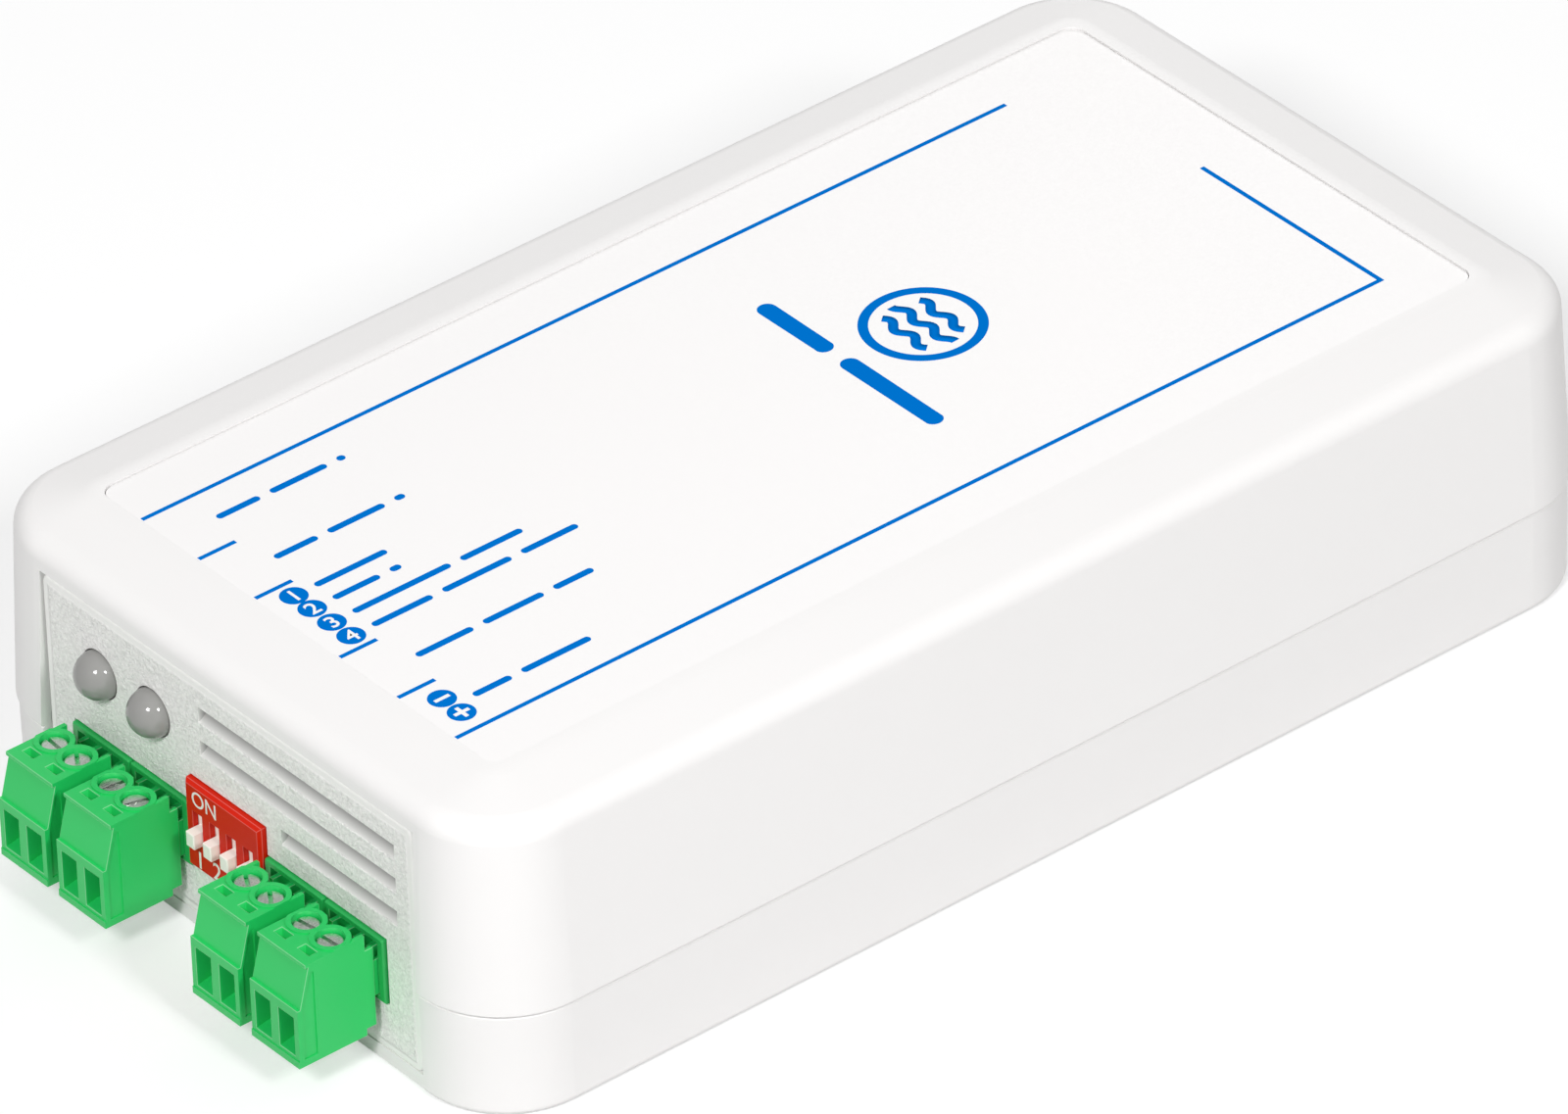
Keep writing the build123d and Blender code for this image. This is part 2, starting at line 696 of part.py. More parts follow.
# Plug housing
chamber_width = cage_width + 2 * chamber_gap
chamber_depth = cage_depth + 2 * chamber_gap
nose_bottom = board_top + header_sole + nose_sole_gap
nose_width = header_width - 2 * header_wall - 2 * nose_side_gap
contact_floor = over(bar_bottom)
contact_roof = contact_floor + bar_thickness + socket_height
head_seat = plug_height - head_sink - head_height
with BuildPart() as plug_housing:
    with BuildSketch(Plane.YZ):
        with BuildLine():
            Polyline(
                (out(sole_notch), over(0)),
                (out(plug_reach), over(0)),
                (out(plug_reach), over(lip_height)),
                (out(lower_front), over(lip_height)),
                (out(lower_front), over(ledge_height)),
                (out(slant_foot), over(ledge_height)),
                (out(slant_head), over(plug_height - plate_thickness)),
                (out(plate_front), over(plug_height - plate_thickness)),
                (out(plate_front), over(plug_height)),
                (out(well_out), over(plug_height)),
                (out(well_out), over(shoulder)),
                (out(plug_rear), over(shoulder)),
                (out(plug_rear), over(sole_notch_height)),
                (out(sole_notch), over(sole_notch_height)),
                close=True,
            )
        make_face()
    extrude(amount=plug_width / 2, both=True)
    # recessed strip on each side behind the front edge
    for side in (-1, 1):
        with BuildSketch(Plane.YZ.offset(side * plug_width / 2)):
            with BuildLine():
                Polyline(
                    (out(strip_rear), over(lip_height)),
                    (out(slant_foot - strip_inset), over(lip_height)),
                    (out(slant_foot - strip_inset), over(ledge_height)),
                    (out(strip_head - strip_inset), over(strip_top)),
                    (out(strip_rear), over(strip_top)),
                    close=True,
                )
            make_face()
            fillet(vertices().group_by(Axis.Y)[-1], strip_corner)
        extrude(amount=-side * strip_depth, mode=Mode.SUBTRACT)
    # stepped fins beside the wells
    for side in (-1, 1):
        with BuildSketch(Plane.YZ.offset(side * plug_width / 2)):
            with BuildLine():
                Polyline(
                    (out(well_out), over(shoulder)),
                    (out(plug_rear), over(shoulder)),
                    (out(plug_rear), over(fin_step)),
                    (out(fin_rear), over(fin_step)),
                    (out(fin_rear), over(plug_height)),
                    (out(well_out), over(plug_height)),
                    close=True,
                )
            make_face()
        extrude(amount=-side * fin_thickness)
    # round wells
    with BuildSketch(Plane.XY.offset(over(shoulder))):
        with Locations(*[(pole, out(well_out)) for pole in pole_offsets]):
            Circle(well_radius + collar_wall)
        with Locations((0, out(well_out))):
            Rectangle(plug_width, 2 * (well_radius + collar_wall), mode=Mode.INTERSECT)
    extrude(amount=plug_height + collar_rise - shoulder)
    # the nose that enters the header, with its keys
    with BuildSketch(Plane.XZ.offset(-out(plug_rear))):
        with Locations((0, nose_bottom)):
            Rectangle(nose_width, over(shoulder) - nose_bottom, align=(Align.CENTER, Align.MIN))
    extrude(amount=-nose_length)
    chamfer(plug_housing.faces().sort_by(Axis.Y)[-1].edges(), nose_chamfer)
    with BuildSketch(Plane.XY.offset(over(shoulder))):
        for pole in pole_offsets:
            with Locations(*[(pole + side * key_spread, out(plug_rear)) for side in (-1, 1)]):
                Rectangle(key_width, nose_length - 2 * nose_chamfer, align=(Align.CENTER, Align.MIN))
    extrude(amount=key_height)
    # screw wells, shank holes, cage chambers and the way for the contacts
    poles = [(pole, out(well_out)) for pole in pole_offsets]
    with BuildSketch(Plane.XY.offset(over(head_seat) - head_gap)):
        with Locations(*poles):
            Circle(well_radius)
    extrude(amount=plug_height + collar_rise - head_seat + head_gap, mode=Mode.SUBTRACT)
    with BuildSketch(Plane.XY.offset(over(chamber_roof))):
        with Locations(*poles):
            Circle(shank_radius + shank_gap)
    extrude(amount=head_seat - chamber_roof, mode=Mode.SUBTRACT)
    with BuildSketch(Plane.XY.offset(over(chamber_floor))):
        with Locations(*poles):
            Rectangle(chamber_width, chamber_depth)
    extrude(amount=chamber_roof - chamber_floor, mode=Mode.SUBTRACT)
    with BuildSketch(Plane.XZ.offset(-out(well_out))):
        with Locations(*[(pole, contact_floor - contact_gap) for pole in pole_offsets]):
            Rectangle(
                bar_width + 2 * socket_wall + 2 * contact_gap,
                contact_roof - contact_floor + 2 * contact_gap,
                align=(Align.CENTER, Align.MIN),
            )
    extrude(amount=-(well_out - nose_end), mode=Mode.SUBTRACT)
    # test holes
    with BuildSketch(Plane.XY.offset(over(plug_height))):
        with Locations(*[(pole, out(test_out)) for pole in pole_offsets]):
            Rectangle(test_width, test_length)
    extrude(amount=-test_depth, taper=test_taper, mode=Mode.SUBTRACT)
    # wire entries narrow towards the cages
    for pole in pole_offsets:
        with BuildSketch(Plane.XZ.offset(-out(plug_reach))):
            with Locations((pole, over((entry_bottom + entry_top) / 2))):
                Rectangle(entry_width, entry_top - entry_bottom)
        with BuildSketch(Plane.XZ.offset(-out(well_out + cage_depth / 2))):
            with Locations((pole, over((throat_bottom + throat_top) / 2))):
                Rectangle(throat_width, throat_top - throat_bottom)
        loft(mode=Mode.SUBTRACT)

# Contact of one pole: a bar through the cage that ends in a socket for the header's pin
socket_end = nose_end + socket_end_gap
with BuildPart() as plug_contact:
    with BuildSketch(Plane.XY.offset(contact_floor)):
        with Locations((0, out(well_out + cage_depth / 2))):
            Rectangle(bar_width, well_out + cage_depth / 2 - socket_end, align=(Align.CENTER, Align.MIN))
    extrude(amount=bar_thickness)
    with BuildSketch(Plane.XY.offset(contact_floor)):
        for side in (-1, 1):
            with Locations((side * (bar_width + socket_wall) / 2, out(socket_end + socket_length))):
                Rectangle(socket_wall, socket_length, align=(Align.CENTER, Align.MIN))
    extrude(amount=bar_thickness + socket_height)

# Cage of one pole
with BuildPart() as cage:
    with BuildSketch(Plane.XZ.offset(-out(well_out + cage_depth / 2))):
        with Locations((0, over(cage_rest))):
            Rectangle(cage_width, cage_height, align=(Align.CENTER, Align.MIN))
        with Locations((0, over(cage_rest + cage_sole))):
            Rectangle(
                cage_width - 2 * cage_wall,
                cage_height - cage_sole - cage_top,
                align=(Align.CENTER, Align.MIN),
                mode=Mode.SUBTRACT,
            )
    extrude(amount=-cage_depth)
    with BuildSketch(Plane.XY.offset(over(cage_rest + cage_height))):
        with Locations((0, out(well_out))):
            Circle(shank_radius + head_gap)
    extrude(amount=-cage_top, mode=Mode.SUBTRACT)

# Clamp screw of one pole
shank_foot = bar_bottom + bar_thickness + contact_gap
with BuildPart() as clamp_screw:
    with BuildSketch(Plane.XY.offset(over(head_seat))):
        Circle(head_radius)
    extrude(amount=head_height)
    chamfer(clamp_screw.edges().sort_by(Axis.Z)[-1], head_chamfer)
    with BuildSketch(Plane.XY.offset(over(head_seat + head_height))):
        Rectangle(2 * head_radius, driver_slot)
    extrude(amount=-driver_slot_depth, mode=Mode.SUBTRACT)
    with BuildSketch(Plane.XY.offset(over(head_seat))):
        Circle(shank_radius)
    extrude(amount=-(head_seat - shank_foot))

# Four plugs, each with two poles
for number, x in enumerate(terminal_places, start=1):
    save(Pos(x, 0, 0) * plug_housing.part, f"plug_housing_{number}")
    contacts = Compound(children=[Pos(x + pole, 0, 0) * plug_contact.part for pole in pole_offsets])
    save(contacts, f"plug_contacts_{number}")
    for pole_number, (letter, pole) in enumerate(zip("ab", pole_offsets)):
        angle = slot_angles[2 * (number - 1) + pole_number]
        place = Location((x + pole, out(well_out), 0), (0, 0, angle))
        save(place * clamp_screw.part, f"clamp_screw_{number}{letter}")
        save(Pos(x + pole, 0, 0) * cage.part, f"wire_clamp_{number}{letter}")

# Switch block: a red shell over a dark base, with four sliders between them
plate_back = dip_front + slide_plate + 2 * slide_gap
plate_bottom = window_bottom - slide_travel - slide_gap
plate_height = window_height + slide_travel + 2 * slide_gap
with BuildPart() as dip_shell_part:
    with BuildSketch(Plane.XZ.offset(dip_face)):
        with Locations((dip_x, dip_bottom)):
            Rectangle(dip_width, dip_height, align=(Align.CENTER, Align.MIN))
    extrude(amount=-dip_shell)
    chamfer(dip_shell_part.faces().sort_by(Axis.Y)[0].edges(), dip_bevel)
    with BuildSketch(Plane.XZ.offset(dip_face - dip_front)):
        with Locations((dip_x, dip_bottom + dip_wall)):
            inner_height = dip_height - 2 * dip_wall
            Rectangle(dip_width - 2 * dip_wall, inner_height, align=(Align.CENTER, Align.MIN))
    extrude(amount=-dip_shell, mode=Mode.SUBTRACT)
    with BuildSketch(Plane.XZ.offset(dip_face)):
        with Locations(*[(x, dip_bottom + window_bottom) for x in slider_places]):
            Rectangle(window_width, window_height, align=(Align.CENTER, Align.MIN))
    extrude(amount=-dip_front, mode=Mode.SUBTRACT)
save(dip_shell_part.part, "dip_housing")

core_bottom = dip_bottom + dip_wall + slide_gap
core_width = dip_width - 2 * dip_wall - 2 * slide_gap
core_height = inner_height - 2 * slide_gap
with BuildPart() as dip_base:
    with BuildSketch(Plane.XZ.offset(dip_face - plate_back)):
        with Locations((dip_x, core_bottom)):
            Rectangle(core_width, core_height, align=(Align.CENTER, Align.MIN))
    extrude(amount=-(dip_depth - plate_back))
    # ribs that keep the sliders apart
    with BuildSketch(Plane.XZ.offset(dip_face - plate_back)):
        for left, right in zip(slider_places, slider_places[1:]):
            with Locations(((left + right) / 2, core_bottom)):
                Rectangle(guide_rib, core_height, align=(Align.CENTER, Align.MIN))
    extrude(amount=slide_plate)
    # holes for the legs, in two rows
    with BuildSketch(Plane.XZ.offset(dip_face - plate_back)):
        for row in (-1, 1):
            middle = dip_bottom + dip_height / 2 + row * dip_row / 2
            with Locations(*[(x, middle) for x in slider_places]):
                Rectangle(dip_leg + 2 * pin_fit, dip_leg + 2 * pin_fit)
    extrude(amount=-dip_depth, mode=Mode.SUBTRACT)
save(dip_base.part, "dip_base")

dip_leg_tops = [dip_bottom + dip_height / 2 + row * dip_row / 2 + dip_leg / 2 for row in (-1, 1)]
leg_shapes = [
    bent_lead(-dip_face + plate_back + slide_gap, bend, top, dip_leg, dip_leg, lead_foot)
    for bend, top in zip(dip_leg_rows, dip_leg_tops)
]
save(Compound(children=[Pos(x, 0, 0) * leg for x in slider_places for leg in leg_shapes]), "dip_legs")

with BuildPart() as slider:
    with BuildSketch(Plane.XZ.offset(dip_face - dip_front - slide_gap)):
        with Locations((0, dip_bottom + plate_bottom)):
            Rectangle(slide_plate_width, plate_height, align=(Align.CENTER, Align.MIN))
    extrude(amount=-slide_plate)
    with BuildSketch(Plane.XZ.offset(dip_face - dip_front - slide_gap)):
        with Locations((0, dip_bottom + window_bottom + slide_gap)):
            Rectangle(knob_width, knob_height, align=(Align.CENTER, Align.MIN))
    extrude(amount=dip_front + slide_gap + knob_proud)
    fillet(slider.faces().sort_by(Axis.Y)[0].edges(), knob_edge)
for number, x in enumerate(slider_places, start=1):
    save(Pos(x, 0, 0) * slider.part, f"dip_slider_{number}")


def legs(places):
    """Sections of round legs that go down through the board at these places."""
    with BuildSketch(Plane.XY.offset(board_top)) as feet:
        with Locations(*places):
            Circle(led_lead / 2)
    return feet.sketch


# Beeper
with BuildPart() as beeper:
    with BuildSketch(Plane.XY.offset(board_top)):
        with Locations((beeper_x, beeper_y)):
            Circle(beeper_radius)
    extrude(amount=beeper_height)
    fillet(beeper.edges().group_by(Axis.Z)[-1], beeper_edge)
    with BuildSketch(Plane.XY.offset(board_top + beeper_height)):
        with Locations((beeper_x, beeper_y)):
            Circle(beeper_hole)
    extrude(amount=-beeper_hole_depth, mode=Mode.SUBTRACT)
    extrude(legs(beeper_legs), amount=-leg_length)
save(beeper.part, "beeper")

# Alarm relay
with BuildPart() as relay:
    with BuildSketch(Plane.XY.offset(board_top)):
        with Locations((relay_x, relay_y)):
            Rectangle(relay_width, relay_length)
    extrude(amount=relay_height)
    fillet(relay.edges().group_by(Axis.Z)[-1], body_edge)
    extrude(legs(relay_legs), amount=-leg_length)
save(relay.part, "relay")

# Power regulator, flat on the board with its tab behind
with BuildPart() as power_regulator:
    with BuildSketch(Plane.XY.offset(board_top)):
        with Locations((regulator_x, regulator_y)):
            Rectangle(regulator_width, regulator_length)
    extrude(amount=regulator_height)
    chamfer(power_regulator.edges().group_by(Axis.Z)[-1], body_edge)
    with BuildSketch(Plane.XY.offset(board_top)):
        with Locations((regulator_x, regulator_y + regulator_length / 2)):
            Rectangle(regulator_tab_width, 2 * regulator_tab_reach)
        for side in (-1, 1):
            leg_x = regulator_x + side * regulator_leg_place
            with Locations((leg_x, regulator_y - regulator_length / 2)):
                Rectangle(regulator_leg_width, 2 * regulator_tab_reach)
    extrude(amount=regulator_tab_thickness)
save(power_regulator.part, "power_regulator")

# Controller chip with two rows of legs
with BuildPart() as controller_chip:
    with BuildSketch(Plane.XY.offset(board_top + chip_leg_thickness)):
        with Locations((chip_x, chip_y)):
            Rectangle(chip_width, chip_length)
    extrude(amount=chip_height)
    chamfer(controller_chip.edges().group_by(Axis.Z)[-1], body_edge)
    leg_span = chip_width / 2 + chip_leg_reach
    with BuildSketch(Plane.XZ.offset(-chip_y)):
        for side in (-1, 1):
            with BuildLine():
                root = chip_x + side * (chip_width / 2 - chip_leg_thickness)
                knee = chip_x + side * (chip_width / 2 + chip_leg_knee)
                toe = chip_x + side * leg_span
                leg_top = board_top + chip_height / 2
                Polyline(
                    (root, leg_top + chip_leg_thickness),
                    (knee + side * chip_leg_thickness, leg_top + chip_leg_thickness),
                    (knee + side * chip_leg_thickness, board_top + chip_leg_thickness),
                    (toe, board_top + chip_leg_thickness),
                    (toe, board_top),
                    (knee, board_top),
                    (knee, leg_top),
                    (root, leg_top),
                    close=True,
                )
            make_face()
    leg_row = extrude(amount=chip_leg_width / 2, both=True, mode=Mode.PRIVATE)
    with Locations(*[(0, chip_pitch * (n - (chip_legs - 1) / 2)) for n in range(chip_legs)]):
        add(leg_row)
save(controller_chip.part, "controller_chip")

# Filter capacitor
with BuildPart() as filter_capacitor:
    with BuildSketch(Plane.XY.offset(board_top)):
        with Locations((capacitor_x, capacitor_y)):
            Circle(capacitor_radius)
    extrude(amount=capacitor_height)
    fillet(filter_capacitor.edges().group_by(Axis.Z)[-1], capacitor_groove)
    with BuildSketch(Plane.XZ.offset(-capacitor_y)):
        with Locations((capacitor_x + capacitor_radius, board_top + capacitor_groove_height)):
            Circle(capacitor_groove)
    revolve(axis=Axis((capacitor_x, capacitor_y, 0), (0, 0, 1)), mode=Mode.SUBTRACT)
    extrude(legs(capacitor_legs), amount=-leg_length)
save(filter_capacitor.part, "filter_capacitor")
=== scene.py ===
"""Water leak detector: finishes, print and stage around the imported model.

Metres, +Z up. The connector panel faces -Y and the origin is the middle of the case's underside.
"""
from math import cos, pi, radians, sin

import bmesh
import bpy
from mathutils import Matrix, Vector


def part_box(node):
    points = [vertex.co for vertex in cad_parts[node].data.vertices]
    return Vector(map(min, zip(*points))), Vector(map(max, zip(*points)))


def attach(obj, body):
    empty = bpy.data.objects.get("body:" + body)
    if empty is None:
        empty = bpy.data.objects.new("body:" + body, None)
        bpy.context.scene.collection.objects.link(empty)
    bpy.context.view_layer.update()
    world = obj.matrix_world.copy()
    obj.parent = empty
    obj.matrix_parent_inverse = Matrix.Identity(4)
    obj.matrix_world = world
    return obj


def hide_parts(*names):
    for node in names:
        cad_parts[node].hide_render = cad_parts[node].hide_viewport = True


bl_info = {
    "name": "Water leak detector",
    "version": (1, 0, 0),
    "blender": (4, 5, 0),
    "location": "3D View > Sidebar > Leak detector",
    "description": "Finishes, label print and studio stage of a water leak detector",
    "category": "Object",
}

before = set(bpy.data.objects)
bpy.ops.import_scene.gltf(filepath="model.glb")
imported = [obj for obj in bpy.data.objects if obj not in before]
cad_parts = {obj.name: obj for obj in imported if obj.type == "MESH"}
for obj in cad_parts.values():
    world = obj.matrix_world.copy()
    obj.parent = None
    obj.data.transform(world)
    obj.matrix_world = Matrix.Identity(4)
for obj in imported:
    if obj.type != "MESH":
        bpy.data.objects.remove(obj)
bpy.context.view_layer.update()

MM = 0.001

# Plugs, headers and switches are numbered from left to right, and each plug has two poles
NUMBERS = (1, 2, 3, 4)
POLES = ("a", "b")

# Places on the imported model
PANEL_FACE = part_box("front_panel")[0].y
PANEL_FLANGE = 0.9 * MM
LABEL_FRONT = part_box("top_label")[0].y
LABEL_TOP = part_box("top_label")[1].z
SWITCH_LOW, SWITCH_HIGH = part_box("dip_housing")

# Merging, flattening, shading and rounding of meshes
MERGE_DISTANCE = 0.0005 * MM
FLAT_ANGLE = radians(0.2)
SMOOTH_ANGLE = radians(32)
EDGE_MARK = "rounded_edge"
EDGE_SEGMENTS = 2

# An edge is rounded where the edges at its ends are longer than this many radii
EDGE_ROOM = 2.0
PLUG_EDGE_ROOM = 3.0

# Thin raised print
PRINT_THICKNESS = 0.02 * MM
DISC_CORNERS = 48
RING_CORNERS = 96
DASH_CORNERS = 22
LETTER_CURVE_STEPS = 6
LETTER_DEPTH = 0.5

# Frame and ticks of the label, in millimetres from its middle
FRAME_MARGIN = 0.25
FRAME_LEFT = -23.1
FRAME_LEFT_END = 45.65
FRAME_RIGHT = 23.7
FRAME_FAR = 52.55
FRAME_FAR_START = -2.2
TICKS = (-14.5, -6.0, 6.63, 15.2)
TICK_END = -54.9

# Plain dashes: the place of each row across the label, and the length of each dash
DASH_START = -53.8
DASH_GAP = 1.3
DASH_ROWS = (
    (-18.7, (5.0, 6.6, 0.9)),
    (-10.0, (5.0, 6.6, 1.1)),
    (-3.96, (8.4,)),
    (-1.21, (5.4, 1.2)),
    (1.73, (11.4, 7.2)),
    (4.6, (7.0, 8.0, 6.6)),
    (11.1, (6.6, 7.0, 4.6)),
    (19.5, (4.4, 8.0)),
)

# Discs: four with numbers, one with a minus and one with a plus sign, sized in shares of their radius
DISC_PLACES = (-3.96, -1.21, 1.73, 4.6, 17.99, 20.88)
DISC_Y = -56.28
DISC_DIGIT_HEIGHT = 1.3
DISC_DIGIT_WEIGHT = 0.012
SIGN_STROKE = 0.3
SIGN_REACH = 0.62

# Emblem: a ring round three waves, over two bars
EMBLEM_CENTRE = (0.5, 15.6, 0.0)
WAVE_LENGTH = (8.4, 6.6)
WAVE_PITCH = 2.3
WAVE_HEIGHT = 0.45
WAVE_PERIOD = 3.3
WAVE_STEPS = 40
EMBLEM_BARS = ((-12.2, -1.9), (0.1, 14.2))
EMBLEM_BARS_Y = 6.2

# Print of the switch block, in millimetres from the block's edges and the sliders' middles
WORD_SIDE = 3.02
WORD_DROP = 1.53
WORD_WEIGHT = 0.002
NUMBER_SIDE = 0.12
NUMBER_RISE = 1.45
NUMBER_WEIGHT = 0.004

# Camera and floor
CAMERA_AIM = (2.6826, -3.8135, 16.8)
SENSOR_WIDTH = 36
VIEW_DEPTH = 10
FLOOR_SIZE = 8.0
FLOOR_LEVEL = -0.02 * MM
FLOOR_LIFT = 0.44

# Name, share of the power, azimuth from -Y towards +X and elevation of each soft box
LAMPS = (
    ("left_soft_box", 1.0, radians(26), radians(43)),
    ("right_soft_box", 0.76, radians(86), radians(40)),
    ("rear_soft_box", 0.3, radians(228), radians(26)),
)

WHITE = (1, 1, 1, 1)

# What the skin groups put out
SKIN_OUTPUTS = {"Colour": "NodeSocketColor", "Roughness": "NodeSocketFloat", "Normal": "NodeSocketVector"}


class CaseFinish(bpy.types.PropertyGroup):
    """Colours and texture of the two shells and the end panels."""

    cover_colour: bpy.props.FloatVectorProperty(
        name="Cover", description="Warm white of the cover", subtype="COLOR",
        default=(0.885, 0.872, 0.865),
    )
    base_colour: bpy.props.FloatVectorProperty(
        name="Base", description="Warm white of the base shell", subtype="COLOR",
        default=(0.88, 0.867, 0.86),
    )
    panel_colour: bpy.props.FloatVectorProperty(
        name="Panels", description="Pale grey of the end panels", subtype="COLOR",
        default=(0.91, 0.906, 0.885),
    )
    texture_size: bpy.props.FloatProperty(
        name="Texture size", description="Size of the shells' fine texture", unit="LENGTH",
        default=0.35 * MM,
    )
    texture_height: bpy.props.FloatProperty(
        name="Texture height", description="Height of the shells' fine texture", unit="LENGTH",
        default=0.004 * MM,
    )
    grain_size: bpy.props.FloatProperty(
        name="Grain size", description="Size of a wrinkle in the panels' leather grain", unit="LENGTH",
        default=0.5 * MM,
    )
    grain_height: bpy.props.FloatProperty(
        name="Grain height", description="Height of the panels' leather grain", unit="LENGTH",
        default=0.17 * MM,
    )
    smooth_rim: bpy.props.FloatProperty(
        name="Smooth rim", description="Width of the smooth band round a panel", unit="LENGTH",
        default=0.9 * MM,
    )
    edge_radius: bpy.props.FloatProperty(
        name="Edge radius", description="Rounding of the panels' sharp edges", unit="LENGTH",
        default=0.08 * MM,
    )


class LabelPrint(bpy.types.PropertyGroup):
    """Film and ink of the label, and the sizes of its plain print."""

    film_colour: bpy.props.FloatVectorProperty(
        name="Film", description="White of the label film", subtype="COLOR", default=(0.9, 0.885, 0.88)
    )
    ink_colour: bpy.props.FloatVectorProperty(
        name="Ink", description="Blue of the print", subtype="COLOR", default=(0.0, 0.175, 0.64)
    )
    line_width: bpy.props.FloatProperty(
        name="Line width", description="Width of the frame and tick lines", unit="LENGTH",
        default=0.5 * MM,
    )
    disc_radius: bpy.props.FloatProperty(
        name="Disc radius", description="Radius of the numbered discs", unit="LENGTH",
        default=1.38 * MM,
    )
    dash_width: bpy.props.FloatProperty(
        name="Dash width", description="Width of the plain dashes", unit="LENGTH",
        default=0.8 * MM,
    )
    bar_width: bpy.props.FloatProperty(
        name="Bar width", description="Width of the two bars below the emblem", unit="LENGTH",
        default=2.0 * MM,
    )
    emblem_radius: bpy.props.FloatProperty(
        name="Emblem radius", description="Outer radius of the emblem's ring", unit="LENGTH",
        default=6.2 * MM,
    )


class TerminalFinish(bpy.types.PropertyGroup):
    """Colours and edges of the pluggable terminals."""

    plug_colour: bpy.props.FloatVectorProperty(
        name="Plugs", description="Bright green of the plugs", subtype="COLOR",
        default=(0.013, 0.545, 0.115),
    )
    header_colour: bpy.props.FloatVectorProperty(
        name="Headers", description="Deeper green of the headers", subtype="COLOR",
        default=(0.016, 0.39, 0.085),
    )
    plug_edge: bpy.props.FloatProperty(
        name="Plug edges", description="Rounding of the plugs' edges", unit="LENGTH", default=0.1 * MM
    )
    header_edge: bpy.props.FloatProperty(
        name="Header edges", description="Rounding of the headers' edges", unit="LENGTH",
        default=0.06 * MM,
    )
    screw_edge: bpy.props.FloatProperty(
        name="Screw edges", description="Rounding of the clamp screws' edges", unit="LENGTH",
        default=0.04 * MM,
    )
    zinc_colour: bpy.props.FloatVectorProperty(
        name="Screws", description="Bright zinc plating", subtype="COLOR", default=(0.74, 0.75, 0.73)
    )


class SwitchFinish(bpy.types.PropertyGroup):
    """Colours and print of the switch block."""

    shell_colour: bpy.props.FloatVectorProperty(
        name="Shell", description="Red of the switch block", subtype="COLOR", default=(0.62, 0.012, 0.0)
    )
    knob_colour: bpy.props.FloatVectorProperty(
        name="Knobs", description="Cream white of the sliders", subtype="COLOR", default=(0.95, 0.92, 0.86)
    )
    print_colour: bpy.props.FloatVectorProperty(
        name="Print", description="White of the print", subtype="COLOR", default=(0.88, 0.86, 0.84)
    )
    word_height: bpy.props.FloatProperty(
        name="Word height", description="Height of the word ON", unit="LENGTH", default=1.7 * MM
    )
    number_height: bpy.props.FloatProperty(
        name="Number height", description="Height of the switch numbers", unit="LENGTH", default=1.9 * MM
    )
    shell_edge: bpy.props.FloatProperty(
        name="Shell edges", description="Rounding of the switch block's edges", unit="LENGTH",
        default=0.04 * MM,
    )


class LightFinish(bpy.types.PropertyGroup):
    """Resin of the status lights."""

    resin_colour: bpy.props.FloatVectorProperty(
        name="Resin", description="Tint of the cloudy resin", subtype="COLOR", default=(0.34, 0.337, 0.325)
    )
    clearness: bpy.props.FloatProperty(
        name="Clearness", description="Share of the light that passes into the resin", subtype="FACTOR",
        default=0.2,
    )


class StudioStage(bpy.types.PropertyGroup):
    """Camera, floor and lamps."""

    azimuth: bpy.props.FloatProperty(
        name="Azimuth", description="Camera's turn from -Y towards +X", subtype="ANGLE",
        default=radians(51.667),
    )
    elevation: bpy.props.FloatProperty(
        name="Elevation", description="Camera's height over the floor plane", subtype="ANGLE",
        default=radians(34.837),
    )
    distance: bpy.props.FloatProperty(
        name="Distance", description="Camera to its aim", unit="LENGTH", default=1.5339
    )
    roll: bpy.props.FloatProperty(
        name="Roll", description="Camera's turn about its own axis", subtype="ANGLE",
        default=radians(-2.014),
    )
    lens: bpy.props.FloatProperty(
        name="Lens", description="Focal length on a 36 mm sensor", unit="CAMERA", default=374.15
    )
    floor_colour: bpy.props.FloatVectorProperty(
        name="Floor", description="Plain pale floor", subtype="COLOR", default=(0.6, 0.6, 0.6)
    )
    world_strength: bpy.props.FloatProperty(
        name="World", description="Strength of the light from all round", default=0.24
    )
    lamp_power: bpy.props.FloatProperty(
        name="Lamps", description="Power of the strongest soft box", unit="POWER", default=14.2
    )
    lamp_size: bpy.props.FloatProperty(
        name="Lamp size", description="Side of each soft box", unit="LENGTH", default=0.3
    )
    lamp_distance: bpy.props.FloatProperty(
        name="Lamp distance", description="Each soft box to the middle of the underside", unit="LENGTH",
        default=1.6,
    )


FINISH_GROUPS = {
    "leak_case": CaseFinish,
    "leak_label": LabelPrint,
    "leak_terminals": TerminalFinish,
    "leak_switch": SwitchFinish,
    "leak_lights": LightFinish,
    "leak_stage": StudioStage,
}


# Modelling helpers


def activate(piece):
    """Select one piece alone and make it the active one."""
    bpy.ops.object.select_all(action="DESELECT")
    piece.hide_viewport = False
    piece.select_set(True)
    bpy.context.view_layer.objects.active = piece


def edit(select="SELECT"):
    """Open the active piece in edit mode with everything selected, or nothing."""
    bpy.ops.object.mode_set(mode="EDIT")
    bpy.ops.mesh.select_all(action=select)


def close_edit():
    """Leave edit mode."""
    bpy.ops.object.mode_set(mode="OBJECT")


def settle(piece):
    """Move a piece's place into its mesh."""
    activate(piece)
    bpy.ops.object.transform_apply(location=True, rotation=True, scale=True)


